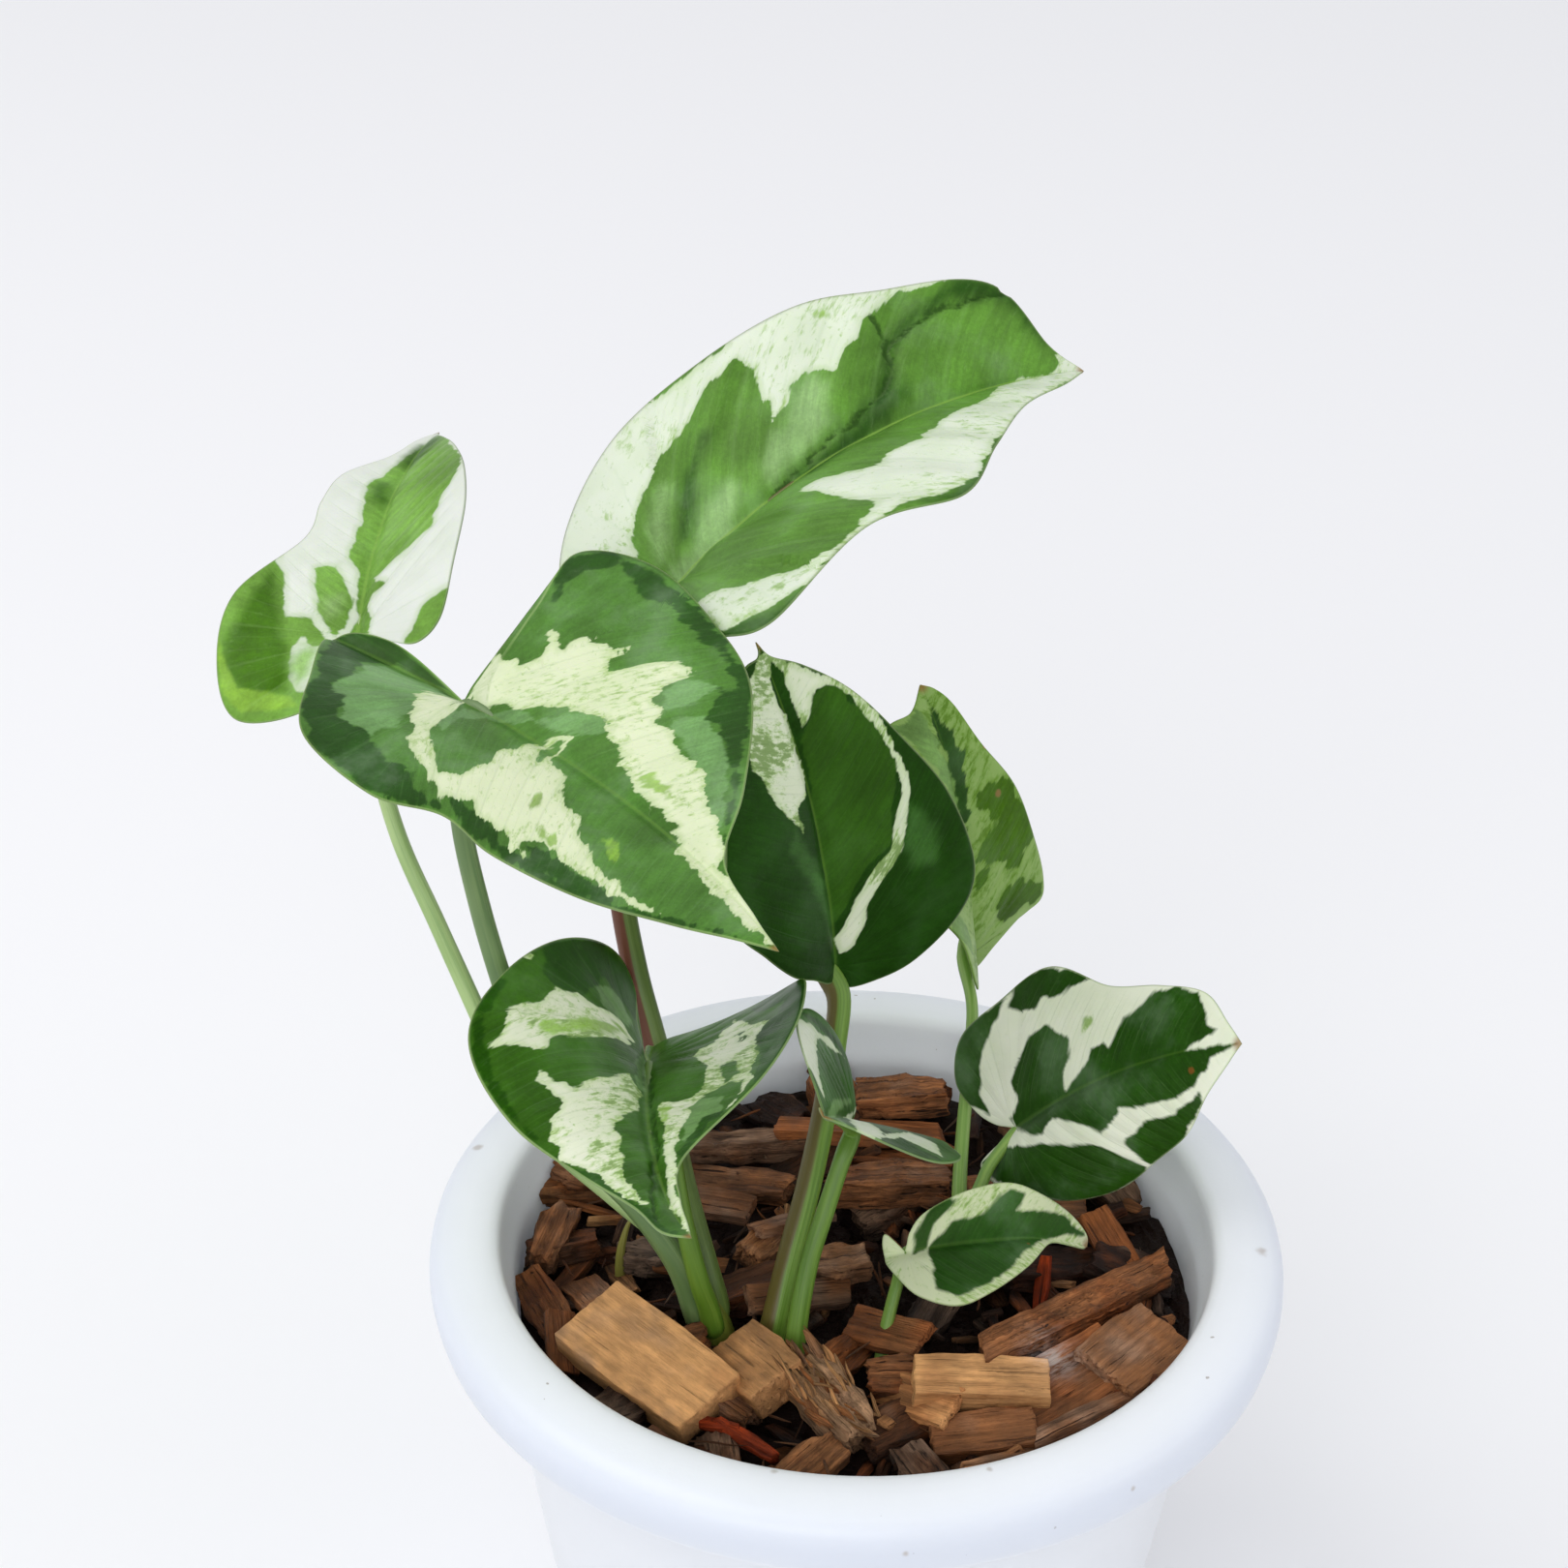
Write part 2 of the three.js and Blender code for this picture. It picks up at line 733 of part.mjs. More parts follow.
// A blade is one sheet of triangles, the same on both faces, with a rim between them
function buildBlade(leaf) {
  const flat = [];
  const index = new Map();
  const vertex = (key, x, y) => {
    if (!index.has(key)) {
      index.set(key, flat.length);
      flat.push([x, y]);
    }
    return index.get(key);
  };
  const ribSteps = MARGIN_STEPS - FAN_STEPS;
  const sheet = [];
  const loop = [];
  ['left', 'right'].forEach((side) => {
    const margin = marginPoints(leaf, leaf[side]);
    const cell = (step, row) => {
      const rib = Math.max(step - FAN_STEPS, 0);
      if (row === 0 || step === 0) {
        return vertex(`rib ${rib}`, (leaf.length * rib) / ribSteps, 0);
      }
      if (step === MARGIN_STEPS) {
        return vertex(`rib ${ribSteps}`, leaf.length, 0);
      }
      const anchor = (leaf.length * rib) / ribSteps;
      const share = row / BLADE_ROWS;
      const x = anchor + (margin[step].x - anchor) * share;
      return vertex(`${side} ${step} ${row}`, x, margin[step].y * share);
    };
    for (let step = 0; step < MARGIN_STEPS; step += 1) {
      for (let row = 0; row < BLADE_ROWS; row += 1) {
        const a = cell(step, row);
        const b = cell(step + 1, row);
        const c = cell(step + 1, row + 1);
        const d = cell(step, row + 1);
        [[a, b, c], [a, c, d]].forEach(([p, q, r]) => {
          if (p !== q && q !== r && r !== p) {
            sheet.push(side === 'left' ? [p, q, r] : [p, r, q]);
          }
        });
      }
      const edge = [cell(step, BLADE_ROWS), cell(step + 1, BLADE_ROWS)];
      loop.push(side === 'left' ? edge : edge.reverse());
    }
  });
  const count = flat.length;
  const placed = flat.map(([x, y]) => bladePoint(leaf, x, y));
  const normals = vertexNormals(placed.map((item) => item.point), sheet);
  const positions = [];
  [0.5, -0.5].forEach((face) => {
    placed.forEach(({ point }, place) => {
      const shifted = point.clone().addScaledVector(normals[place], face * BLADE_THICKNESS);
      positions.push(shifted.x, shifted.y, shifted.z);
    });
  });
  const triangles = [];
  sheet.forEach(([p, q, r]) => {
    triangles.push(p, q, r);
    triangles.push(p + count, r + count, q + count);
  });
  loop.forEach(([p, q]) => {
    triangles.push(p, q, q + count, p, q + count, p + count);
  });
  return solidFromMesh(positions, triangles);
}

function vertexNormals(points, sheet) {
  const normals = points.map(() => new THREE.Vector3());
  sheet.forEach((corners) => {
    const [p, q, r] = corners.map((corner) => points[corner]);
    const face = new THREE.Vector3().subVectors(q, p).cross(new THREE.Vector3().subVectors(r, p));
    corners.forEach((corner) => normals[corner].add(face));
  });
  return normals.map((normal) => normal.normalize());
}

// The stalk runs from the mix up to the blade and on below it as the midrib
function stalkPoints(leaf) {
  const points = leaf.stalk.path.map((point) => new THREE.Vector3(...point));
  const low = leaf.stalk.upper * 0.6 + 0.2;
  [0, 0.12, 0.28, RIB_SHARE].forEach((share) => {
    const { point, normal } = bladePoint(leaf, leaf.length * share, 0);
    const depth = share === 0 ? low : low * (1 - share) * 0.55;
    points.push(point.addScaledVector(normal, -depth));
  });
  return points;
}

function stalkRadius(leaf, extra) {
  const points = stalkPoints(leaf);
  const lengths = points.slice(1).map((point, place) => point.distanceTo(points[place]));
  const total = lengths.reduce((sum, length) => sum + length, 0);
  const rib = lengths.slice(-3).reduce((sum, length) => sum + length, 0);
  const joint = 1 - rib / total;
  const { lower, upper } = leaf.stalk;
  return (share) => {
    if (share <= joint) {
      return lower + ((upper - lower) * share) / joint + extra;
    }
    const left = (share - joint) / (1 - joint);
    return upper + (RIB_END_RADIUS - upper) * Math.sqrt(left) + extra;
  };
}

function buildStalk(leaf, extra) {
  const points = stalkPoints(leaf);
  const steps = 6 + 2 * points.length;
  return taperedTube(points, stalkRadius(leaf, extra), STALK_SIDES, Math.min(steps, 20));
}

function buildStem(stem, extra) {
  const points = stem.path.map((point) => new THREE.Vector3(...point));
  const { lower, upper } = stem;
  return taperedTube(points, (share) => lower + (upper - lower) * share + extra, STALK_SIDES, 6);
}

const group = new THREE.Group();
group.add(namedMesh('pot', buildPot()));

const kept = [];
[...STEMS, SPROUT].forEach((stem) => {
  let solid = buildStem(stem, 0);
  kept.forEach((clear) => {
    solid = solid.subtract(clear);
  });
  group.add(namedMesh(stem.name, largestBody(solid)));
  kept.push(buildStem(stem, GAP));
});

LEAVES.forEach((leaf) => {
  let solid = buildBlade(leaf).add(buildStalk(leaf, 0));
  kept.forEach((clear) => {
    solid = solid.subtract(clear);
  });
  group.add(namedMesh(leaf.name, largestBody(solid)));
  kept.push(buildStalk(leaf, GAP));
});

group.add(namedMesh('bark_mix', buildMix(kept)));

export default group;
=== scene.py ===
import math

import bmesh
import bpy
import numpy as np
from bpy.props import FloatProperty, FloatVectorProperty, IntProperty, PointerProperty
from mathutils import Matrix, Vector, noise


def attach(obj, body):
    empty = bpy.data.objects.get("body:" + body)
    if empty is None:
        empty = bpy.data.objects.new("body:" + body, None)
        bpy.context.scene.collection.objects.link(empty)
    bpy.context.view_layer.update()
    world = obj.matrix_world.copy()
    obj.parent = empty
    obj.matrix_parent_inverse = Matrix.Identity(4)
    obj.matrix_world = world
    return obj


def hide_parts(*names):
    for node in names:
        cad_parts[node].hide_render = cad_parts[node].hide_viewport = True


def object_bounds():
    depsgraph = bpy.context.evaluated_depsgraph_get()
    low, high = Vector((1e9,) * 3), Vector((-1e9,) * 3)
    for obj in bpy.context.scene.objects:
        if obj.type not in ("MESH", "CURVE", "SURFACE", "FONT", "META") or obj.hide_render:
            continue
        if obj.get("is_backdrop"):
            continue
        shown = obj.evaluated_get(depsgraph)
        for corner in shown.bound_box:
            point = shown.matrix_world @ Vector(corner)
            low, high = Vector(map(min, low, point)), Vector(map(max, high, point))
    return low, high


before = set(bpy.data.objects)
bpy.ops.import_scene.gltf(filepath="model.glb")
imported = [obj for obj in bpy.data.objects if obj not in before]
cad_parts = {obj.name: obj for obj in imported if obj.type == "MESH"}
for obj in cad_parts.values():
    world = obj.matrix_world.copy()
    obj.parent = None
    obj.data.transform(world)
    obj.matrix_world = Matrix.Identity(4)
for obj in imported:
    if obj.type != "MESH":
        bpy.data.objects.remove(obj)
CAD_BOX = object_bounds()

bl_info = {
    "name": "Potted Snow Queen Pothos",
    "version": (1, 0, 0),
    "blender": (4, 5, 0),
    "location": "View3D > Sidebar > Pothos",
    "description": "Builds a variegated pothos in its white pot, with bark mix and soft studio light",
    "category": "Add Mesh",
}

# All tables are in millimetres and degrees, in the frame of the part
MM = 0.001

# Leaves: flat outlines, x along the midrib and y to its left, that are bent into place
LEAVES = [
    {
        "name": "leaf_top", "base": (-34.5, 36.5, 223.5), "length": 88,
        "heading": 31, "sweep": -2, "pitch": 40, "droop": -49, "droop_growth": 2, "roll": -5, "twist": 21,
        "left": {"fold": 21, "fold_growth": 17, "curl": -15, "curl_growth": 5, "margin": [
            (-10.5, 3), (-16.5, 11), (-16, 21), (-7, 30), (9, 34), (27, 32), (45.5, 29.5), (58, 24.5),
            (75, 19), (82, 5.5)]},
        "right": {"fold": 26, "fold_growth": 1, "curl": -35, "curl_growth": -3, "margin": [
            (-10.5, -3), (-16, -11), (-14.5, -20.5), (-3.5, -29), (5.5, -36), (28, -29.5), (44.5, -32.5),
            (56.5, -23), (68.5, -12.5), (80, -6.5)]},
        "stalk_lower": 2.7, "stalk_upper": 1.9, "stalk": [
            (-25.5, -14, 104), (-27.5, -11.5, 110.5), (-32.5, -1, 123.5), (-36.5, 9, 139.5),
            (-41.5, 18, 154.5), (-44.5, 23, 172), (-44.5, 28, 189), (-42, 33, 206.5)],
    },
    {
        "name": "leaf_front_left", "base": (-69, 7.5, 215.5), "length": 89,
        "heading": -37, "sweep": -27, "pitch": -4, "droop": 7, "droop_growth": -4, "roll": 5, "twist": 13,
        "left": {"fold": 21, "fold_growth": 3, "curl": -3, "curl_growth": 2, "margin": [
            (4.5, 0.5), (1, 7.5), (-1.5, 22), (-3, 35), (10, 38.5), (27.5, 34), (43.5, 27.5), (58, 13.5),
            (66, 3), (79.5, 0.5)]},
        "right": {"fold": 20, "fold_growth": -9, "curl": -12, "curl_growth": 3, "margin": [
            (-20, 4), (-29, -1.5), (-19, -19), (-6, -33), (15, -34), (27.5, -27.5), (41.5, -26.5),
            (59.5, -20.5), (74, -11.5), (83, -4.5)]},
        "stalk_lower": 2.3, "stalk_upper": 1.7, "stalk": [
            (-28.5, -16, 104), (-32, -15.5, 114.5), (-40, -13.5, 126), (-51, -10, 136), (-58, -6, 149.5),
            (-63.5, -2, 166.5), (-67, 1, 179.5), (-69.5, 3, 193), (-70, 5, 204)],
    },
    {
        "name": "leaf_low_front", "base": (-37.5, -4, 150), "length": 77,
        "heading": -89, "sweep": 17, "pitch": 16, "droop": -19, "droop_growth": 26, "roll": -12,
        "twist": 29,
        "left": {"fold": 26, "fold_growth": -3, "curl": 29, "curl_growth": -36, "margin": [
            (-8.5, 0), (-12.5, 9.5), (-13.5, 20), (-6.5, 30), (7.5, 32), (23.5, 29.5), (37.5, 21), (48, 5),
            (61, 2), (70.5, 1)]},
        "right": {"fold": 41, "fold_growth": -32, "curl": -14, "curl_growth": -9, "margin": [
            (-7.5, -5), (-15.5, -9), (-15.5, -17), (-5.5, -25.5), (9.5, -31.5), (23, -33), (38, -24),
            (50, -13), (60.5, -6), (71.5, -3.5)]},
        "stalk_lower": 2, "stalk_upper": 1.4, "stalk": [
            (-26, -18, 105.5), (-28, -18, 113), (-31, -15.5, 126), (-33.5, -11, 139.5)],
    },
    {
        "name": "leaf_back_left", "base": (-94, 50, 203.5), "length": 65,
        "heading": 89, "sweep": -12, "pitch": 31, "droop": -40, "droop_growth": -1, "roll": -21, "twist": 3,
        "left": {"fold": 15, "fold_growth": -4, "curl": 2, "curl_growth": 6, "margin": [
            (-7.5, 2), (-15, 9), (-16, 21), (-5, 25.5), (9.5, 24.5), (23, 14), (33.5, 13.5), (43, 12),
            (51, 5), (59.5, 2.5)]},
        "right": {"fold": 24, "fold_growth": -7, "curl": -13, "curl_growth": -4, "margin": [
            (-1, -4), (-4.5, -10.5), (-6.5, -17.5), (-3, -22.5), (7, -23.5), (20, -23), (32.5, -19),
            (43.5, -13), (53, -6.5), (60, -2)]},
        "stalk_lower": 2, "stalk_upper": 1.4, "stalk": [
            (-29, -11, 103.5), (-33, -8.5, 112), (-43.5, -4, 119), (-57.5, 2, 128.5), (-64.5, 8, 137),
            (-70.5, 15, 147), (-78, 24, 159), (-85.5, 32, 172.5), (-90.5, 39, 189)],
    },
    {
        "name": "leaf_middle", "base": (-5, 22.5, 153), "length": 69.5,
        "heading": 179, "sweep": 8, "pitch": 86, "droop": -16, "droop_growth": -2, "roll": -25,
        "twist": -11,
        "left": {"fold": 7, "fold_growth": -11, "curl": -19, "curl_growth": -4, "margin": [
            (-2, 1), (-1, 4.5), (3, 9.5), (7.5, 15.5), (15.5, 21.5), (26, 27), (39.5, 23.5), (54, 15.5),
            (66.5, 6.5), (67, 1)]},
        "right": {"fold": 27, "fold_growth": -2, "curl": 6, "curl_growth": 0, "margin": [
            (-5, -1), (-6.5, -8), (-5.5, -17), (0.5, -27), (9, -31), (24.5, -27.5), (38.5, -20.5),
            (51.5, -13.5), (60.5, -6.5), (65.5, -1.5)]},
        "stalk_lower": 2.5, "stalk_upper": 2.1, "stalk": [
            (-17, -23, 91.5), (-15, -18.5, 99), (-13.5, -15, 105.5), (-11.5, -9.5, 113), (-9, -3, 121.5),
            (-6.5, 6, 132), (-5, 14, 141.5), (-4.5, 20, 148)],
    },
    {
        "name": "leaf_young", "base": (-1, -5, 138.5), "length": 43.5,
        "heading": -104, "sweep": 11, "pitch": 42, "droop": -16, "droop_growth": 12, "roll": -3,
        "twist": -5,
        "left": {"fold": 5, "fold_growth": -14, "curl": -9, "curl_growth": -2, "margin": [
            (-2.5, 4), (-6.5, 8), (-7.5, 12.5), (-3, 16), (5, 18.5), (13.5, 22), (24, 21.5), (34, 18),
            (41.5, 10), (43.5, -1)]},
        "right": {"fold": 65, "fold_growth": -9, "curl": -6, "curl_growth": -4, "margin": [
            (-3.5, -2), (-5.5, -6), (-6, -11.5), (-2, -16.5), (5.5, -19.5), (14, -20), (23, -17.5),
            (30, -12), (34.5, -4.5), (38.5, -0.5)]},
        "stalk_lower": 2, "stalk_upper": 1.5, "stalk": [
            (-11.5, -26.5, 93), (-10.5, -23, 101.5), (-9.5, -20, 109.5), (-8, -16.5, 117),
            (-5.5, -13, 125), (-3, -9.5, 133)],
    },
    {
        "name": "leaf_back_right", "base": (20.5, 58, 132), "length": 58,
        "heading": 146, "sweep": -4, "pitch": 91, "droop": -27, "droop_growth": -6, "roll": 11,
        "twist": -16,
        "left": {"fold": 35, "fold_growth": -23, "curl": -20, "curl_growth": -13, "margin": [
            (-1.5, 1.5), (-1.5, 6), (0, 11.5), (4, 15), (12.5, 16.5), (22.5, 22.5), (34, 23), (45.5, 18.5),
            (54, 13), (54.5, 5.5)]},
        "right": {"fold": 18, "fold_growth": -7, "curl": -4, "curl_growth": -3, "margin": [
            (-4, -2), (-1.5, -7.5), (1.5, -15), (2.5, -22), (8, -22), (19, -18.5), (31.5, -14.5),
            (42.5, -8.5), (52, -5), (56, -2.5)]},
        "stalk_lower": 1.5, "stalk_upper": 1.1, "stalk": [
            (19.5, 6.5, 104.5), (19, 13, 107.5), (19.5, 26, 111), (20.5, 38, 120.5), (21, 48, 127)],
    },
    {
        "name": "leaf_right", "base": (29, 20.5, 119), "length": 54,
        "heading": -17, "sweep": -14, "pitch": 50, "droop": -19, "droop_growth": -6, "roll": 20, "twist": 4,
        "left": {"fold": 28, "fold_growth": -2, "curl": 3, "curl_growth": -1, "margin": [
            (-4, 3), (-7, 8), (-8, 15), (-3, 21.5), (6.5, 23), (18, 24), (28, 16), (38, 13), (46.5, 10),
            (51, 4)]},
        "right": {"fold": 0, "fold_growth": -26, "curl": -71, "curl_growth": -6, "margin": [
            (-8.5, -1), (-10, -3.5), (-7, -9), (-0.5, -15), (8, -19.5), (17.5, -21), (28, -18.5),
            (38, -15), (45.5, -8.5), (50.5, -4)]},
        "stalk_lower": 1.4, "stalk_upper": 1.1, "stalk": [
            (21, 5.5, 105.5), (21.5, 9, 109.5), (23, 12.5, 112), (25, 16, 114.5)],
    },
    {
        "name": "leaf_low_right", "base": (9, -9.5, 113), "length": 38.5,
        "heading": 6, "sweep": 31, "pitch": 13, "droop": -46, "droop_growth": -7, "roll": 17, "twist": 7,
        "left": {"fold": 32, "fold_growth": 5, "curl": -10, "curl_growth": 0, "margin": [
            (0, 0.5), (0.5, 1.5), (1.5, 3.5), (4, 6), (8.5, 8), (14, 9.5), (20.5, 10), (27.5, 7.5),
            (34, 4.5), (38, 2)]},
        "right": {"fold": 16, "fold_growth": -2, "curl": -17, "curl_growth": -1, "margin": [
            (-3, 4), (-4, -0.5), (-2, -6), (1, -11), (6.5, -14), (12.5, -12), (20.5, -7), (28, -1),
            (33.5, -1), (36.5, -1)]},
        "stalk_lower": 1.3, "stalk_upper": 1.1, "stalk": [
            (4.5, -23.5, 92.5), (5.5, -18.5, 100), (6.5, -15.5, 104.5), (7.5, -13, 108)],
    },
]

# Markings of each leaf, as outlines on the flat blade; the pale outlines are partly painted sheen and
# highlights, and the deep ones partly painted shade of folds and margins
MARKINGS = {
    "leaf_top": {
        "ground": "green",
        "cream": [
            [(-19, 18), (-12, 26), (-2, 10), (1, 14), (5, 18), (9, 20), (13, 22), (17, 23), (21, 24),
            (26, 26), (29, 26), (32, 27), (34, 26), (35, 24), (34, 22), (33, 19), (32, 16), (33, 16),
            (31, 12), (33, 13), (35, 13), (37, 16), (41, 17), (43, 16), (45, 14), (48, 17), (51, 17),
            (53, 20), (55, 20), (58, 22), (61, 23), (64, 22), (68, 21), (70, 22), (64, 25), (45, 34),
            (19, 37), (0, 36), (-15, 28)], [(25, -8), (30, -9), (35, -14), (39, -16), (41, -13), (44, -13),
            (47, -14), (49, -11), (53, -10), (58, -8), (64, -6), (73, 0), (80, 0), (83, 2), (82, 4),
            (91, 2), (88, -2), (68, -14), (61, -19), (57, -22), (52, -27), (48, -30), (43, -31), (38, -30),
            (35, -29), (29, -30), (27, -30), (27, -28), (32, -26), (31, -23), (28, -16)], [(-1, -19),
            (3, -20), (6, -23), (10, -26), (15, -30), (18, -30), (22, -30), (27, -29), (29, -30),
            (24, -31), (18, -32), (14, -34), (9, -34), (6, -34), (3, -32), (-1, -30), (-2, -25)]],
        # On this leaf the deep outlines are largely painted shade along the folds, the crease and the
        # turned-down margins
        "deep": [
            [(-1, -30), (3, -32), (7, -34), (10, -34), (14, -34), (19, -32), (24, -31), (28, -30),
            (28, -32), (18, -34), (11, -37), (5, -38), (-2, -32)], [(38, -30), (43, -31), (47, -30),
            (51, -28), (57, -22), (58, -24), (50, -31), (44, -34), (38, -31)], [(70, 22), (73, 21),
            (78, 18), (81, 12), (83, 6), (81, 6), (79, 10), (77, 14), (72, 17), (68, 18), (64, 17),
            (59, 15), (55, 12), (54, 15), (59, 18), (64, 19)], [(28, 1), (35, 2), (42, 3), (49, 7),
            (53, 12), (54, 10), (53, 4), (50, 2), (45, 0), (36, -3), (29, -3)], [(5, 6), (13, 14),
            (21, 19), (22, 18), (15, 12), (7, 4)]],
        # On this leaf the pale outlines are painted highlights on the swellings between the veins
        "pale": [
            [(32, 10), (37, 14), (41, 15), (42, 12), (38, 6), (33, 4), (28, 3), (24, 2), (25, 6),
            (30, 10)], [(4, 13), (10, 18), (11, 16), (4, 8), (1, 6)], [(8, 3), (13, 6), (18, 8), (19, 6),
            (13, 0), (4, -2), (0, 0), (0, 2)]],
        "lime": [[(47, 26), (49, 26), (49, 24), (47, 25)]],
        "green": [
            [(18.5, 32.9), (21, 32.2), (25, 31.6), (30, 31), (33.5, 30.9), (33.5, 34), (26, 36),
            (18.5, 36)]],
    },
    "leaf_front_left": {
        "ground": "green",
        "cream": [
            [(-4, -9), (-5, -4), (0, 0), (2, -4), (4, -10), (6, -14), (11, -18), (17, -22), (14, -22),
            (7, -19), (3, -15), (0, -10)], [(4, 0), (1, 0), (0, 6), (-1, 10), (4, 11), (5, 12), (6, 14),
            (5, 18), (6, 19), (8, 16), (9, 18), (10, 20), (11, 21), (13, 20), (15, 22), (16, 20), (19, 22),
            (18, 19), (19, 17), (22, 20), (25, 22), (29, 24), (34, 26), (33, 24), (30, 20), (30, 18),
            (30, 16), (34, 16), (34, 14), (39, 14), (41, 12), (45, 12), (49, 11), (55, 8), (61, 6),
            (64, 4), (66, 2), (69, 2), (71, 2), (76, 2), (82, 2), (85, 1), (88, 0), (86, -1), (80, -2),
            (72, -2), (62, -2), (56, 0), (51, 1), (44, 2), (37, 4), (34, 4), (34, 7), (31, 7), (28, 7),
            (27, 8), (28, 10), (26, 10), (24, 9), (20, 8), (14, 6)], [(9, -18), (14, -20), (17, -22),
            (19, -20), (20, -18), (20, -16), (20, -12), (18, -9), (18, -6), (18, -2), (19, 0), (20, 2),
            (23, 4), (23, 2), (24, -2), (26, -4), (29, -4), (34, -8), (38, -9), (42, -10), (46, -12),
            (48, -12), (53, -14), (57, -14), (62, -14), (66, -13), (70, -12), (72, -11), (70, -13),
            (66, -15), (61, -16), (55, -17), (52, -18), (46, -18), (43, -19), (42, -21), (46, -22),
            (46, -23), (42, -23), (37, -22), (33, -23), (28, -22), (24, -23), (25, -26), (21, -24),
            (17, -23), (11, -20), (7, -18), (4, -14), (0, -14), (-2, -10), (-3, -6), (0, -6), (3, -10),
            (5, -14)]],
        "green": [
            [(22, -6), (20, -1), (22, 2), (23, -1), (24, -5)], [(45, 2), (50, 2), (53, 2), (52, 0),
            (48, 1)]],
        "deep": [
            [(-18, -18), (-23, -12), (-29, 0), (-26, 2), (-20, 4), (-10, 2), (2, -2), (-8, 0), (-16, 1),
            (-18, -6), (-15, -13), (-15, -18), (-14, -21), (-10, -19), (-5, -26), (-1, -23), (4, -25),
            (10, -26), (15, -25), (19, -27), (27, -26), (23, -30), (14, -34), (5, -34), (-3, -34),
            (-10, -30), (-15, -24)], [(-2, 28), (-4, 32), (-3, 35), (3, 38), (12, 38), (19, 36), (29, 33),
            (38, 30), (43, 28), (49, 22), (54, 16), (58, 12), (61, 8), (64, 4), (60, 8), (57, 12),
            (51, 16), (47, 18), (42, 19), (40, 22), (39, 24), (43, 26), (37, 28), (30, 30), (21, 32),
            (18, 33), (13, 32), (9, 34), (5, 36), (1, 32), (1, 30), (0, 28), (2, 24), (0, 24)], [(24, -24),
            (27, -23), (33, -22), (37, -23), (40, -24), (46, -22), (51, -22), (59, -20), (67, -15),
            (74, -10), (81, -5), (87, -2), (80, -6), (74, -12), (69, -16), (61, -21), (53, -24), (44, -25),
            (38, -26), (34, -27), (29, -26)], [(42, -21), (45, -19), (50, -18), (55, -18), (60, -16),
            (65, -16), (60, -20), (51, -22), (47, -22)]],
        # The pale strip beside the midrib is a painted sheen
        "pale": [
            [(-15, -17), (-15, -12), (-17, -6), (-16, -2), (-11, -2), (-8, 0), (-4, 0), (1, -2), (2, -8),
            (-1, -8), (0, -14), (2, -18), (1, -22), (3, -24), (0, -24), (-4, -26), (-8, -22), (-12, -20)],
            [(35, 15), (38, 17), (42, 19), (46, 18), (52, 15), (59, 8), (62, 5), (58, 6), (53, 8),
            (47, 11), (41, 13)], [(2, -8), (3, -2), (8, 2), (15, 4), (22, 9), (28, 10), (28, 7), (22, 4),
            (16, 3), (9, 0), (6, -6), (7, -12)], [(31, 22), (36, 24), (39, 24), (38, 20), (34, 16),
            (31, 18)]],
        "lime": [
            [(40, 4), (41, 6), (45, 6), (50, 6), (47, 4), (43, 4)], [(32, -12), (32, -11), (35, -12),
            (36, -14), (34, -14)], [(39, -16), (42, -16), (46, -16), (45, -18), (42, -18)], [(49, -10),
            (49, -8), (54, -10), (55, -12)]],
    },
    "leaf_low_front": {
        "ground": "green",
        "cream": [
            [(24, -30), (20, -28), (18, -28), (15, -28), (12, -25), (10, -23), (6, -22), (6, -24),
            (5, -22), (5, -20), (3, -18), (3, -16), (2, -14), (1, -12), (-1, -8), (0, -6), (0, -4),
            (4, -6), (5, -8), (11, -12), (14, -16), (17, -20), (20, -20), (21, -22), (21, -24), (22, -27)],
            [(25, -20), (27, -18), (27, -16), (27, -14), (25, -12), (21, -10), (17, -6), (13, -4),
            (16, -2), (16, -1), (24, -2), (28, -4), (32, -6), (36, -6), (39, -6), (44, -6), (47, -6),
            (50, -6), (53, -6), (56, -5), (60, -4), (60, -5), (55, -8), (50, -10), (49, -12), (48, -14),
            (46, -16), (44, -16), (42, -18), (39, -17), (37, -17), (34, -16), (31, -16), (29, -18),
            (28, -20)], [(6, 8), (4, 10), (4, 13), (2, 14), (-4, 16), (-6, 16), (4, 20), (9, 24), (12, 22),
            (15, 21), (24, 22), (30, 20), (35, 20), (39, 17), (42, 14), (40, 14), (39, 16), (33, 18),
            (28, 16), (29, 13), (28, 10), (30, 8), (32, 8), (36, 6), (43, 4), (51, 3), (58, 2), (67, 2),
            (77, 1), (73, 0), (66, 0), (58, 0), (49, 2), (40, 2), (31, 3), (26, 2), (22, 3), (25, 6),
            (26, 8), (24, 10), (20, 11), (16, 12)], [(4, -30), (2, -29), (2, -28), (4, -28)]],
        "green": [
            [(6, 17), (6, 19), (12, 20), (12, 18)], [(20, 14), (21, 17), (27, 18), (28, 15)], [(35, 14),
            (33, 16), (32, 18), (37, 18), (38, 16)]],
        "deep": [
            [(0, -28), (-7, -24), (-13, -20), (-16, -14), (-14, -8), (-7, -6), (-7, -10), (-7, -15),
            (-1, -16), (3, -18), (5, -22), (5, -25), (1, -26)], [(-8, 19), (-12, 24), (-2, 32), (22, 32),
            (33, 28), (38, 23), (37, 20), (27, 22), (14, 22), (10, 23), (10, 26), (2, 28), (1, 22)],
            [(42, 14), (41, 11), (45, 8), (48, 5), (45, 4), (41, 8), (38, 10), (40, 14)], [(43, -19),
            (46, -16), (48, -14), (50, -10), (58, -6), (67, -3), (75, -1), (72, -4), (57, -8), (51, -13),
            (46, -18)], [(20, -33), (16, -33), (10, -32), (10, -30), (15, -32), (20, -31), (24, -30),
            (32, -26), (42, -19), (41, -21), (32, -28), (26, -32)]],
        "pale": [
            [(-2, -16), (-6, -14), (-7, -10), (-5, -6), (-2, -6), (-1, -10), (0, -13)], [(27, 8), (32, 12),
